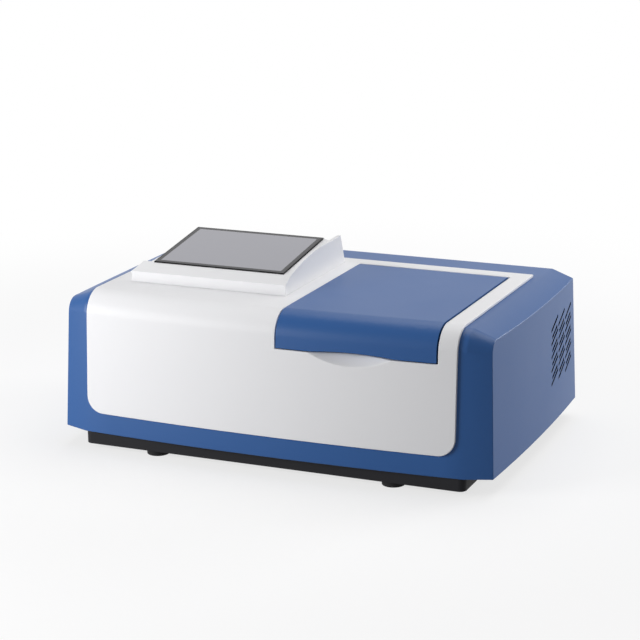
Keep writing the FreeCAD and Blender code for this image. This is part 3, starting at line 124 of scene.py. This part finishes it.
def mixColour(tree, factor, first, second):
    made = addNode(tree, "ShaderNodeMix", data_type="RGBA")
    factorIn, firstIn, secondIn = (made.inputs[number] for number in mixSockets)
    for socket, value in ((factorIn, factor), (firstIn, first), (secondIn, second)):
        if isinstance(value, bpy.types.NodeSocket):
            tree.links.new(value, socket)
        else:
            socket.default_value = value
    return made.outputs[2]


# Moulded plastic: fine spark-eroded grain, faint mottle, and edges lighter and smoother. The
# lighter edges are partly rubbed wear and partly a painted edge highlight.
skin = {
    "mottleScale": 9.0,
    "mottleDetail": 3.0,
    "mottleColour": (0.02, 0.02, 0.03, 1),
    # pointiness from which edges get lighter, as rubbed wear and as a painted highlight
    "edgeFrom": 0.52,  # pointiness at which an edge starts to look rubbed
    "edgeTo": 0.6,
    "edgeGain": 1.35,
    "edgeLift": 0.02,
    "edgeSmoothing": 0.1,
    "roughnessSpread": 0.08,
    "grainDetail": 2.0,
    "grainHeight": 0.12,  # millimetres
}


def makeSkinGroup():
    group, start, end = newGroup(
        "mouldedSkin",
        [
            ("Colour", "Color", (0.5, 0.5, 0.5, 1)),
            ("Edge colour", "Color", (0.7, 0.7, 0.7, 1)),
            ("Mottle", "Float", 0.05),
            ("Edge wear and highlight", "Float", 0.2),
            ("Roughness", "Float", 0.4),
            ("Grain size", "Float", 1800.0),
            ("Grain depth", "Float", 0.1),
        ],
        [("Colour", "Color"), ("Roughness", "Float"), ("Normal", "Vector")],
    )
    link = group.links.new
    place = addNode(group, "ShaderNodeTexCoord")
    cloud = addNode(group, "ShaderNodeTexNoise")
    cloud.inputs["Scale"].default_value = skin["mottleScale"]
    cloud.inputs["Detail"].default_value = skin["mottleDetail"]
    grain = addNode(group, "ShaderNodeTexNoise", Detail=skin["grainDetail"])
    link(place.outputs["Object"], cloud.inputs["Vector"])
    link(place.outputs["Object"], grain.inputs["Vector"])
    link(start.outputs["Grain size"], grain.inputs["Scale"])
    shape = addNode(group, "ShaderNodeNewGeometry")
    edge = addNode(group, "ShaderNodeMapRange")
    edge.inputs["From Min"].default_value = skin["edgeFrom"]
    edge.inputs["From Max"].default_value = skin["edgeTo"]
    link(shape.outputs["Pointiness"], edge.inputs["Value"])
    wornAndHighlit = addMath(group, "MULTIPLY", edge.outputs[0], start.outputs["Edge wear and highlight"])
    shade = addMath(group, "MULTIPLY", cloud.outputs[0], start.outputs["Mottle"])
    mottled = mixColour(group, shade, start.outputs["Colour"], skin["mottleColour"])
    # Edges take the lighter edge colour: partly rubbed wear, partly a painted highlight on the
    # edges.
    rubbedAndHighlit = mixColour(group, wornAndHighlit, mottled, start.outputs["Edge colour"])
    link(rubbedAndHighlit, end.inputs["Colour"])
    uneven = addMath(group, "SUBTRACT", cloud.outputs[0], noiseMiddle)
    spread = addMath(group, "MULTIPLY", uneven, skin["roughnessSpread"])
    rough = addMath(group, "ADD", start.outputs["Roughness"], spread)
    smooth = addMath(group, "MULTIPLY", wornAndHighlit, skin["edgeSmoothing"])
    link(addMath(group, "SUBTRACT", rough, smooth), end.inputs["Roughness"])
    bump = addNode(group, "ShaderNodeBump", Distance=skin["grainHeight"] * mm)
    link(start.outputs["Grain depth"], bump.inputs["Strength"])
    link(grain.outputs[0], bump.inputs["Height"])
    link(bump.outputs[0], end.inputs["Normal"])
    return group


# Rolled, turned and brushed metal: fine lines drawn along one axis.
drawnLines = {
    "lineShade": 0.22,
    "lineColour": (0.1, 0.1, 0.11, 1),
    "lineDetail": 3.0,
    "cloudScale": 30.0,
    "cloudDetail": 2.0,
    "roughnessSpread": 0.2,
    "lineHeight": 0.1,  # millimetres
}


def makeBrushGroup():
    group, start, end = newGroup(
        "brushedLines",
        [
            ("Colour", "Color", (0.6, 0.6, 0.6, 1)),
            ("Stretch", "Vector", (900.0, 40.0, 900.0)),
            ("Roughness", "Float", 0.35),
            ("Line depth", "Float", 0.15),
        ],
        [("Colour", "Color"), ("Roughness", "Float"), ("Normal", "Vector")],
    )
    link = group.links.new
    place = addNode(group, "ShaderNodeTexCoord")
    stretch = addNode(group, "ShaderNodeVectorMath", operation="MULTIPLY")
    lines = addNode(group, "ShaderNodeTexNoise", Scale=1.0, Detail=drawnLines["lineDetail"])
    cloud = addNode(group, "ShaderNodeTexNoise")
    cloud.inputs["Scale"].default_value = drawnLines["cloudScale"]
    cloud.inputs["Detail"].default_value = drawnLines["cloudDetail"]
    link(place.outputs["Object"], stretch.inputs[0])
    link(start.outputs["Stretch"], stretch.inputs[1])
    link(stretch.outputs[0], lines.inputs["Vector"])
    link(place.outputs["Object"], cloud.inputs["Vector"])
    shade = addMath(group, "MULTIPLY", lines.outputs[0], drawnLines["lineShade"])
    shadeLined = mixColour(group, shade, start.outputs["Colour"], drawnLines["lineColour"])
    link(shadeLined, end.inputs["Colour"])
    uneven = addMath(group, "SUBTRACT", cloud.outputs[0], noiseMiddle)
    spread = addMath(group, "MULTIPLY", uneven, drawnLines["roughnessSpread"])
    link(addMath(group, "ADD", start.outputs["Roughness"], spread), end.inputs["Roughness"])
    bump = addNode(group, "ShaderNodeBump", Distance=drawnLines["lineHeight"] * mm)
    link(start.outputs["Line depth"], bump.inputs["Strength"])
    link(lines.outputs[0], bump.inputs["Height"])
    link(bump.outputs[0], end.inputs["Normal"])
    return group


skinGroup = makeSkinGroup()
brushGroup = makeBrushGroup()


def linear(red, green, blue):
    # A colour given as the eye reads it, 0 to 255.
    def channel(value):
        value = value / 255
        return value / 12.92 if value <= 0.04045 else ((value + 0.055) / 1.055) ** 2.4
    return (channel(red), channel(green), channel(blue), 1.0)


def startMaterial(name):
    material = bpy.data.materials.new(name)
    material.use_nodes = True
    tree = material.node_tree
    return material, tree, tree.nodes["Principled BSDF"]


def groupInto(tree, shader, group, values):
    made = addNode(tree, "ShaderNodeGroup", node_tree=group)
    for key, value in values.items():
        made.inputs[key].default_value = value
    tree.links.new(made.outputs["Colour"], shader.inputs["Base Color"])
    tree.links.new(made.outputs["Roughness"], shader.inputs["Roughness"])
    tree.links.new(made.outputs["Normal"], shader.inputs["Normal"])


def moulded(name, colour, roughness, grain=1800.0, depth=0.1, mottle=0.04, wearAndHighlight=0.15, specular=0.5):
    material, tree, shader = startMaterial(name)
    base = linear(*colour)
    # The lighter edge colour is a painted edge highlight as well as rubbed wear.
    lighter = [min(1.0, channel * skin["edgeGain"] + skin["edgeLift"]) for channel in base[:3]]
    groupInto(tree, shader, skinGroup, {
        "Colour": base, "Edge colour": (*lighter, 1.0), "Mottle": mottle, "Edge wear and highlight": wearAndHighlight,
        "Roughness": roughness, "Grain size": grain, "Grain depth": depth,
    })
    shader.inputs["Specular IOR Level"].default_value = specular
    return material


def brushed(name, colour, roughness, stretch=(900.0, 40.0, 900.0), depth=0.12, metallic=1.0):
    material, tree, shader = startMaterial(name)
    groupInto(tree, shader, brushGroup, {
        "Colour": linear(*colour), "Roughness": roughness, "Stretch": stretch, "Line depth": depth,
    })
    shader.inputs["Metallic"].default_value = metallic
    return material


# Quartz and glass, with faint polishing marks.
clearLook = {
    "marksScale": 260.0,
    "marksDetail": 4.0,
    "marksRoughness": 0.04,
    "transmission": 0.92,
    "ior": 1.46,
}


def clear(name, colour):
    material, tree, shader = startMaterial(name)
    place = addNode(tree, "ShaderNodeTexCoord")
    marks = addNode(tree, "ShaderNodeTexNoise")
    marks.inputs["Scale"].default_value = clearLook["marksScale"]
    marks.inputs["Detail"].default_value = clearLook["marksDetail"]
    tree.links.new(place.outputs["Object"], marks.inputs["Vector"])
    rough = addMath(tree, "MULTIPLY", marks.outputs[0], clearLook["marksRoughness"])
    tree.links.new(rough, shader.inputs["Roughness"])
    shader.inputs["Base Color"].default_value = linear(*colour)
    shader.inputs["Transmission Weight"].default_value = clearLook["transmission"]
    shader.inputs["IOR"].default_value = clearLook["ior"]
    return material


# The face of the display glass over its dark border and the unlit panel.
screenGloss = {
    "mottle": 0.02,
    "grain": 400.0,
    "depth": 0.01,
    "specular": 0.5,  # times the coat
    "coatRoughness": 0.04,
}


def glossy(name, colour, roughness, coat):
    material, tree, shader = startMaterial(name)
    base = linear(*colour)
    groupInto(tree, shader, skinGroup, {
        "Colour": base, "Edge colour": base, "Mottle": screenGloss["mottle"], "Edge wear and highlight": 0.0,
        "Roughness": roughness, "Grain size": screenGloss["grain"],
        "Grain depth": screenGloss["depth"],
    })
    shader.inputs["Specular IOR Level"].default_value = screenGloss["specular"] * coat
    shader.inputs["Coat Weight"].default_value = coat
    shader.inputs["Coat Roughness"].default_value = screenGloss["coatRoughness"]
    return material


# Finishes: colours are 0 to 255 as the eye reads them, and the rest as moulded() names it.
mouldedFinishes = {
    "caseBlue": dict(colour=(41, 88, 149), roughness=0.38, grain=1300.0, depth=0.22, specular=0.3),
    "caseInsidePaintedShade": dict(
        # Painted shade: near-black, matt and without gloss, for the inside of the case and the
        # walls of its side slots.
        colour=(5, 7, 12), roughness=0.95, grain=1200.0, depth=0.2, wearAndHighlight=0.0, specular=0.0,
    ),
    "fasciaWhite": dict(
        colour=(239, 239, 241), roughness=0.4, depth=0.05, mottle=0.01, wearAndHighlight=0.3, specular=0.25,
    ),
    "housingWhite": dict(
        colour=(233, 233, 235), roughness=0.42, depth=0.08, mottle=0.01, wearAndHighlight=0.3, specular=0.25,
    ),
    "baseBlack": dict(
        colour=(34, 34, 37), roughness=0.6, grain=1100.0, depth=0.25, wearAndHighlight=0.1, specular=0.15,
    ),
    "tubBlack": dict(colour=(22, 22, 24), roughness=0.62, grain=1300.0, depth=0.25, specular=0.35),
    "linerBlack": dict(colour=(30, 30, 31), roughness=0.8, grain=700.0, depth=0.4, specular=0.2),
    "footRubber": dict(colour=(20, 20, 21), roughness=0.78, grain=900.0, depth=0.35, specular=0.25),
    "inletBlack": dict(colour=(18, 18, 20), roughness=0.35, depth=0.08),
    # Cast black, and painted shade for the lamp parts seen through the side slots.
    "castBlack": dict(colour=(40, 40, 43), roughness=0.6, grain=600.0, depth=0.5, specular=0.4),
    "rearGrey": dict(colour=(150, 152, 157), roughness=0.5, grain=1400.0, depth=0.3, wearAndHighlight=0.2),
    "boardGreen": dict(colour=(24, 92, 54), roughness=0.35, depth=0.05),
    "ceramic": dict(colour=(220, 214, 200), roughness=0.3, depth=0.04),
}

# Metals: the lines run along the axis with a small stretch; an even stretch makes plain grain.
metalFinishes = {
    "anodisedBlack": dict(colour=(38, 38, 41), roughness=0.42, metallic=0.6),
    "benchMetal": dict(colour=(188, 190, 194), roughness=0.36),
    "sheetMetal": dict(colour=(200, 202, 205), roughness=0.3, stretch=(60.0, 900.0, 900.0)),
    "steel": dict(
        colour=(176, 177, 180), roughness=0.28, stretch=(500.0, 500.0, 500.0), depth=0.05,
    ),
    "brass": dict(colour=(200, 160, 84), roughness=0.3),
    "mirrorFace": dict(
        colour=(225, 228, 232), roughness=0.06, stretch=(40.0, 40.0, 40.0), depth=0.0,
    ),
}

# The display glass, from its rim to the middle.
screenFinishes = {
    "screenEdge": dict(colour=(10, 10, 12), roughness=0.3, coat=0.1),
    "screenBorder": dict(colour=(40, 40, 44), roughness=0.25, coat=0.25),
    "screenLine": dict(colour=(110, 110, 116), roughness=0.2, coat=0.5),
    "screenPanel": dict(colour=(112, 112, 126), roughness=0.18, coat=1.0),
}

materials = {"quartz": clear("quartz", colour=(240, 245, 250))}
for make, looks in ((moulded, mouldedFinishes), (brushed, metalFinishes), (glossy, screenFinishes)):
    for finish, look in looks.items():
        materials[finish] = make(finish, **look)
print("materials made:", len(materials))

finishes = {
    "caseBlue": ["case_shell", "sample_lid"],
    "fasciaWhite": ["fascia_panel"],
    "housingWhite": ["display_housing"],
    "baseBlack": ["base_tray"],
    "tubBlack": ["sample_tub"],
    "linerBlack": ["lid_liner"],
    "footRubber": ["rubber_feet", "lid_seal"],
    "inletBlack": ["power_inlet", "fuse_drawer", "power_rocker", "fan_frame", "fan_rotor"],
    "anodisedBlack": [
        "sample_cell_holder", "reference_cell_holder", "slit_plates", "mirror_mounts",
        "filter_wheel", "optics_posts", "detector_heads",
    ],
    # The lamp housing and its cover take the black finish as painted shade, so what shows through
    # the side slots stays dark; the monochromator parts are cast black.
    "castBlack": ["monochromator_housing", "monochromator_cover", "lamp_housing", "lamp_cover"],
    "benchMetal": ["optical_bench", "cell_plate", "filter_motor_saddle"],
    "sheetMetal": ["power_supply"],
    "steel": [
        "hinge_brackets", "hinge_leaves", "hinge_pins", "foot_screws", "bench_pillars",
        "drive_pinion", "grating_turret", "grating_motor", "filter_motor", "source_mirror_motor",
        "data_sockets", "fan_guard", "fan_screws", "display_panel",
    ],
    "brass": ["sector_gear"],
    "mirrorFace": [
        "concave_mirrors", "diffraction_grating", "source_mirror", "beam_splitter", "fold_mirror",
    ],
    "rearGrey": ["rear_panel"],
    "boardGreen": ["detector_board", "main_board", "display_board"],
    "ceramic": ["lamp_sockets"],
    "quartz": ["tub_windows", "optical_filters", "deuterium_lamp", "tungsten_lamp", "photodiodes"],
}
bodies = frame["record"]["behaviour"]["bodies"]
nodeBody = {node: body for body, members in bodies.items() for node in members}
nodeFinish = {node: finish for finish, members in finishes.items() for node in members}


def paintNodes():
    for name, finish in nodeFinish.items():
        slots = nodes[name].data.materials
        slots.clear()
        slots.append(materials[finish])
    left = sorted(set(nodes) - set(nodeFinish) - {"display_glass"})
    print("finishes set, nodes left plain:", left)


# Pieces shown with rounded edges: width of the rounding in millimetres, and its segments.
roundings = {
    "case_shell": (1.0, 3),
    "fascia_panel": (1.6, 4),
    "sample_lid": (1.6, 4),
    "display_housing": (0.9, 3),
    "base_tray": (0.8, 3),
    "rubber_feet": (0.8, 3),
    "sample_tub": (0.6, 2),
    "sample_cell_holder": (0.5, 2),
    "reference_cell_holder": (0.5, 2),
    "cell_plate": (0.5, 2),
    "rear_panel": (0.3, 2),
    "power_inlet": (0.4, 2),
    "fuse_drawer": (0.5, 2),
    "power_rocker": (0.5, 2),
    "data_sockets": (0.2, 2),
    "fan_frame": (0.5, 2),
    "hinge_brackets": (0.3, 2),
    "lid_liner": (0.5, 2),
}

# How a shown copy is cleaned, rounded and shaded.
copying = {
    "weldGap": 0.002,  # millimetres
    "flatAngle": 0.2,  # degrees: faces closer than this become one
    "roundFrom": 32,  # degrees: a softer edge stays as it is
    "creaseFrom": 40,  # degrees: a softer edge is shaded smooth
    "faceWeight": 90,  # how far the normals follow the large faces
}


def cleanCopy(name):
    copy = nodes[name].copy()
    copy.data = nodes[name].data.copy()
    copy.name = name + "_shown"
    for key in list(copy.keys()):
        if key.startswith("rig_"):
            del copy[key]
    scene.collection.objects.link(copy)
    copy.parent = None
    copy.matrix_world = Matrix.Identity(4)
    mesh = bmesh.new()
    mesh.from_mesh(copy.data)
    bmesh.ops.remove_doubles(mesh, verts=mesh.verts, dist=copying["weldGap"] * mm)
    flat = math.radians(copying["flatAngle"])
    bmesh.ops.dissolve_limit(mesh, angle_limit=flat, verts=mesh.verts, edges=mesh.edges)
    plain = bpy.data.meshes.new(copy.name)
    mesh.to_mesh(plain)
    mesh.free()
    plain.materials.append(copy.data.materials[0])
    copy.data = plain
    return copy


def settle(piece):
    # Turns the piece's modifiers into a plain mesh.
    evaluated = piece.evaluated_get(bpy.context.evaluated_depsgraph_get())
    finished = bpy.data.meshes.new_from_object(evaluated)
    piece.modifiers.clear()
    piece.data = finished


def evenShading(piece):
    # Soft edges are smooth, and the normals follow the large faces.
    for face in piece.data.polygons:
        face.use_smooth = True
    piece.data.set_sharp_from_angle(angle=math.radians(copying["creaseFrom"]))
    even = piece.modifiers.new("even", "WEIGHTED_NORMAL")
    even.keep_sharp = True
    even.weight = copying["faceWeight"]
    settle(piece)


# Shells whose inner faces and slot walls get painted shade, a near-black finish where the inside is
# only in shade: where their middle is, in millimetres.
paintedShadeInside = {"case_shell": (0.0, 5.0, 95.0)}

# The slots in the case's sides: where they are, in millimetres, and how they are shown.
slotSide = {
    "reach": 262.0,  # out from the middle, to either side
    "low": 40.0,
    "high": 165.0,
    "front": 30.0,
    "rear": 180.0,
    "widen": 1.1,  # millimetres on each side of a slot
    "rounding": 0.15,  # share of the case's rounding that the rims take
    "wallLean": 0.3,  # a wall's normal points sideways less than this
    "shadeLean": 0.6,  # the same for the faces that are shown dark
    "leastPush": 0.3,  # shortest sum of wall normals that still says which way to widen
}


def besideSlots(place):
    beyond = abs(place.x) > slotSide["reach"] * mm
    level = slotSide["low"] * mm < place.z < slotSide["high"] * mm
    return beyond and level and slotSide["front"] * mm < place.y < slotSide["rear"] * mm


def widenSlots(mesh):
    # The slots open a little wider than the solid's, as moulded slots with drafted walls do.
    for vert in mesh.verts:
        normals = [face.normal for face in vert.link_faces]
        walls = [normal for normal in normals if abs(normal.x) < slotSide["wallLean"]]
        if walls and besideSlots(vert.co):
            inwards = sum(walls, Vector())
            inwards.x = 0.0
            if inwards.length > slotSide["leastPush"]:
                vert.co -= inwards.normalized() * slotSide["widen"] * mm


def weighEdges(mesh):
    # Sharp edges take the whole rounding, the rims of the side slots only a little of it.
    weight = mesh.edges.layers.float.new("bevel_weight_edge")
    sharp = math.radians(copying["roundFrom"])
    for edge in mesh.edges:
        if len(edge.link_faces) == 2 and edge.calc_face_angle() > sharp:
            middle = (edge.verts[0].co + edge.verts[1].co) / 2
            edge[weight] = slotSide["rounding"] if besideSlots(middle) else 1.0


def fitSlots(piece):
    mesh = bmesh.new()
    mesh.from_mesh(piece.data)
    widenSlots(mesh)
    weighEdges(mesh)
    mesh.to_mesh(piece.data)
    mesh.free()


def paintShadeInside(piece, middle):
    # Faces that look inwards, and the walls of the side slots, take the near-black inner finish:
    # painted shade for the inside of the shell and its slots.
    piece.data.materials.append(materials["caseInsidePaintedShade"])
    centre = Vector(middle) * mm
    for face in piece.data.polygons:
        inwards = face.normal.dot(face.center - centre) < 0
        sideways = abs(face.normal.x) >= slotSide["shadeLean"]
        if inwards or (besideSlots(face.center) and not sideways):
            face.material_index = 1


def roundNode(name, width, segments):
    piece = cleanCopy(name)
    shadeLined = name in paintedShadeInside
    if shadeLined:
        fitSlots(piece)
    bevel = piece.modifiers.new("rounding", "BEVEL")
    bevel.width = width * mm
    bevel.segments = segments
    bevel.limit_method = "WEIGHT" if shadeLined else "ANGLE"
    bevel.angle_limit = math.radians(copying["roundFrom"])
    bevel.use_clamp_overlap = True
    bevel.miter_outer = "MITER_ARC"
    settle(piece)
    evenShading(piece)
    if shadeLined:
        paintShadeInside(piece, paintedShadeInside[name])
    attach(piece, nodeBody[name])
    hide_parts(name)


# The glass over the display: widths in millimetres of the bands round its middle, rim first.
screenFace = {
    "bands": {"screenEdge": 1.6, "screenBorder": 7.7, "screenLine": 0.9},
    "flatAngle": 1.0,  # degrees: triangles of the face closer than this become one
}


def makeScreenGlass():
    piece = cleanCopy("display_glass")
    mesh = bmesh.new()
    mesh.from_mesh(piece.data)
    flat = math.radians(screenFace["flatAngle"])
    bmesh.ops.dissolve_limit(mesh, angle_limit=flat, verts=mesh.verts, edges=mesh.edges)
    top = max(mesh.faces, key=lambda face: face.normal.z * face.calc_area())
    for face in mesh.faces:
        face.material_index = 0
    for number, width in enumerate(screenFace["bands"].values()):
        ring = bmesh.ops.inset_region(mesh, faces=[top], thickness=width * mm, depth=0)
        for face in ring["faces"]:
            face.material_index = number
        top.material_index = number + 1
    data = bpy.data.meshes.new("screenGlass")
    mesh.to_mesh(data)
    mesh.free()
    for finish in screenFinishes:
        data.materials.append(materials[finish])
    piece.data = data
    piece.name = "screenGlass"
    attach(piece, nodeBody["display_glass"])
    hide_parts("display_glass")


# Cross-head screws, in millimetres: x and z on the rear panel, x, y and z under the base.
screws = {
    "headRadius": 3.2,
    "headHeight": 1.9,
    "crossLength": 3.4,
    "crossWidth": 0.9,
    "crossDepth": 1.1,
    "sides": 24,
    "rings": 10,
    "fanHeadRadius": 3.6,
    "panelPlaces": [
        (-282, 45), (-95, 40), (95, 40), (282, 45),
        (-282, 158), (282, 158), (-95, 190), (95, 190),
    ],
    "basePlaces": [
        (-230, -150, 7.0), (0, -150, 4.5), (230, -150, 7.0),
        (-230, 150, 7.0), (0, 150, 4.5), (230, 150, 7.0),
    ],
}


def screwTree():
    # A domed head with a cross recess, set on every point of the mesh and turned to face out.
    tree = bpy.data.node_groups.new("crossScrews", "GeometryNodeTree")
    tree.is_modifier = True
    interface = tree.interface
    interface.new_socket("Geometry", in_out="INPUT", socket_type="NodeSocketGeometry")
    interface.new_socket("Geometry", in_out="OUTPUT", socket_type="NodeSocketGeometry")
    for label, key in (
        ("Head radius", "headRadius"), ("Head height", "headHeight"),
        ("Cross length", "crossLength"), ("Cross width", "crossWidth"),
        ("Cross depth", "crossDepth"),
    ):
        socket = interface.new_socket(label, in_out="INPUT", socket_type="NodeSocketFloat")
        socket.default_value = screws[key] * mm
    interface.new_socket("Turn", in_out="INPUT", socket_type="NodeSocketVector")
    interface.new_socket("Finish", in_out="INPUT", socket_type="NodeSocketMaterial")
    start = addNode(tree, "NodeGroupInput")
    end = addNode(tree, "NodeGroupOutput")
    link = tree.links.new
    dome = addNode(
        tree, "GeometryNodeMeshUVSphere",
        Segments=screws["sides"], Rings=screws["rings"], Radius=1.0,
    )
    shape = addNode(tree, "ShaderNodeCombineXYZ")
    for socket, label in (("X", "Head radius"), ("Y", "Head radius"), ("Z", "Head height")):
        link(start.outputs[label], shape.inputs[socket])
    head = addNode(tree, "GeometryNodeTransform")
    link(dome.outputs["Mesh"], head.inputs["Geometry"])
    link(shape.outputs[0], head.inputs["Scale"])
    cut = addNode(tree, "GeometryNodeMeshBoolean", operation="DIFFERENCE", solver="EXACT")
    link(head.outputs["Geometry"], cut.inputs["Mesh 1"])
    lift = addNode(tree, "ShaderNodeCombineXYZ")
    link(start.outputs["Head height"], lift.inputs["Z"])
    # The bars of the cross are centred on the head's top, so half of each is in the head.
    deep = addMath(tree, "MULTIPLY", start.outputs["Cross depth"], 2.0)
    for across, along in (("Cross length", "Cross width"), ("Cross width", "Cross length")):
        size = addNode(tree, "ShaderNodeCombineXYZ")
        link(start.outputs[across], size.inputs["X"])
        link(start.outputs[along], size.inputs["Y"])
        link(deep, size.inputs["Z"])
        bar = addNode(tree, "GeometryNodeMeshCube")
        link(size.outputs[0], bar.inputs["Size"])
        raised = addNode(tree, "GeometryNodeTransform")
        link(bar.outputs["Mesh"], raised.inputs["Geometry"])
        link(lift.outputs[0], raised.inputs["Translation"])
        link(raised.outputs["Geometry"], cut.inputs["Mesh 2"])
    onPoints = addNode(tree, "GeometryNodeInstanceOnPoints")
    link(start.outputs["Geometry"], onPoints.inputs["Points"])
    link(cut.outputs["Mesh"], onPoints.inputs["Instance"])
    turn = addNode(tree, "FunctionNodeEulerToRotation")
    link(start.outputs["Turn"], turn.inputs[0])
    link(turn.outputs[0], onPoints.inputs["Rotation"])
    real = addNode(tree, "GeometryNodeRealizeInstances")
    link(onPoints.outputs[0], real.inputs[0])
    paint = addNode(tree, "GeometryNodeSetMaterial")
    link(real.outputs[0], paint.inputs["Geometry"])
    link(start.outputs["Finish"], paint.inputs["Material"])
    link(paint.outputs[0], end.inputs[0])
    return tree


def makeScrews(tree, name, places, turn, carrier, headRadius):
    data = bpy.data.meshes.new(name)
    data.from_pydata([tuple(value * mm for value in place) for place in places], [], [])
    data.materials.append(materials["steel"])
    piece = bpy.data.objects.new(name, data)
    scene.collection.objects.link(piece)
    heads = piece.modifiers.new("heads", "NODES")
    heads.node_group = tree
    sockets = [item for item in tree.interface.items_tree if item.in_out == "INPUT"]
    labels = {item.name: item.identifier for item in sockets}
    heads[labels["Head radius"]] = headRadius * mm
    heads[labels["Turn"]] = turn
    heads[labels["Finish"]] = materials["steel"]
    settle(piece)
    evenShading(piece)
    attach(piece, nodeBody[carrier])
    return piece


def setScrews():
    tree = screwTree()
    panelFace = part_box("rear_panel")[1][1] / mm
    outBack = (math.radians(-90), 0, 0)  # turns a head from up to the rear
    outBelow = (math.pi, 0, 0)
    headRadius = screws["headRadius"]
    panelPoints = [(x, panelFace, z) for x, z in screws["panelPlaces"]]
    makeScrews(tree, "panelScrews", panelPoints, outBack, "fan_screws", headRadius)
    makeScrews(tree, "baseScrews", screws["basePlaces"], outBelow, "foot_screws", headRadius)
    fanLow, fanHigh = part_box("fan_screws")
    fanRadius = screws["fanHeadRadius"]
    fanPoints = [
        (x, panelFace, z)
        for x in (fanLow[0] / mm + fanRadius, fanHigh[0] / mm - fanRadius)
        for z in (fanLow[2] / mm + fanRadius, fanHigh[2] / mm - fanRadius)
    ]
    fanHeads = makeScrews(tree, "fanScrewHeads", fanPoints, outBack, "fan_screws", fanRadius)
    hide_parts("fan_screws")
    print("screws set:", len(panelPoints) + len(screws["basePlaces"]) + len(fanPoints))


# Studio, in metres and watts: a pale floor, a soft lamp low at the front left, one above the
# object, and one far off at the right rear. The floor fades into the backdrop between two radii.
studio = {
    "floorColour": (250, 250, 251),
    "floorBounce": (150, 150, 152),  # the colour that the object gets light from
    "floorHalf": 9.0,
    "floorRoughness": 0.9,
    "nearGlow": 0.7,  # share of the backdrop's white at the object
    "fadeStart": 0.6,
    "fadeEnd": 1.3,
    "lights": {
        "keyLeft": {"place": (-1.2, -1.3, 0.48), "size": (1.0, 1.0), "power": 27.5},
        "overhead": {"place": (0.2, 0.8, 2.3), "size": (2.2, 1.8), "power": 31.0},
        "rightRear": {"place": (2.1, 2.2, 0.85), "size": (1.5, 1.5), "power": 58.0},
    },
    "aim": (0.0, 0.0, 0.1),
    "ambient": 0.14,  # the world's light on the object
}


def seenDirectly(tree):
    # 1 for rays that show the backdrop: to the camera, in a gloss or through glass.
    path = addNode(tree, "ShaderNodeLightPath")
    seen = addMath(tree, "MAXIMUM", path.outputs["Is Camera Ray"], path.outputs["Is Glossy Ray"])
    return addMath(tree, "MAXIMUM", seen, path.outputs["Is Transmission Ray"])


def floorMaterial():
    # Near the object the floor is lit and takes its shadow; further out it is the white backdrop.
    material, tree, shader = startMaterial("floorPaper")
    black, white = (0, 0, 0, 1), (1, 1, 1, 1)
    seen = seenDirectly(tree)
    place = addNode(tree, "ShaderNodeTexCoord")
    distance = addNode(tree, "ShaderNodeVectorMath", operation="LENGTH")
    tree.links.new(place.outputs["Object"], distance.inputs[0])
    fade = addNode(tree, "ShaderNodeMapRange", interpolation_type="SMOOTHSTEP")
    fade.inputs["From Min"].default_value = studio["fadeStart"]
    fade.inputs["From Max"].default_value = studio["fadeEnd"]
    fade.inputs["To Min"].default_value = studio["nearGlow"]
    tree.links.new(distance.outputs["Value"], fade.inputs["Value"])
    glow = addMath(tree, "MULTIPLY", fade.outputs[0], seen)
    lit = mixColour(tree, seen, linear(*studio["floorBounce"]), linear(*studio["floorColour"]))
    tree.links.new(mixColour(tree, glow, lit, black), shader.inputs["Base Color"])
    tree.links.new(mixColour(tree, glow, black, white), shader.inputs["Emission Color"])
    shader.inputs["Emission Strength"].default_value = 1.0
    shader.inputs["Roughness"].default_value = studio["floorRoughness"]
    shader.inputs["Specular IOR Level"].default_value = 0.0
    return material


def makeFloor():
    half = studio["floorHalf"]
    corners = [(-half, -half, 0), (half, -half, 0), (half, half, 0), (-half, half, 0)]
    data = bpy.data.meshes.new("studioFloor")
    data.from_pydata(corners, [], [(0, 1, 2, 3)])
    data.materials.append(floorMaterial())
    floor = bpy.data.objects.new("studioFloor", data)
    scene.collection.objects.link(floor)


def makeLights():
    for name, light in studio["lights"].items():
        lamp = bpy.data.lights.new(name, "AREA")
        lamp.shape = "RECTANGLE"
        lamp.size, lamp.size_y = light["size"]
        lamp.energy = light["power"]
        holder = bpy.data.objects.new(name, lamp)
        scene.collection.objects.link(holder)
        holder.location = light["place"]
        aim = Vector(studio["aim"]) - Vector(light["place"])
        holder.rotation_euler = aim.to_track_quat("-Z", "Y").to_euler()


def makeAir():
    # The world is white where it is seen, and only a faint even light on the object.
    world = bpy.data.worlds.new("studioAir")
    scene.world = world
    world.use_nodes = True
    tree = world.node_tree
    back = tree.nodes["Background"]
    back.inputs["Color"].default_value = (1, 1, 1, 1)
    level = addMath(tree, "MULTIPLY", seenDirectly(tree), 1 - studio["ambient"])
    strength = addMath(tree, "ADD", level, studio["ambient"])
    tree.links.new(strength, back.inputs["Strength"])
    scene.view_settings.view_transform = "Standard"


placeCamera()
makeFloor()
makeLights()
makeAir()
print("camera and studio set")
paintNodes()
for nodeName, (width, segments) in roundings.items():
    roundNode(nodeName, width, segments)
print("outer pieces rounded:", len(roundings))
makeScreenGlass()
print("screen glass made")
setScrews()
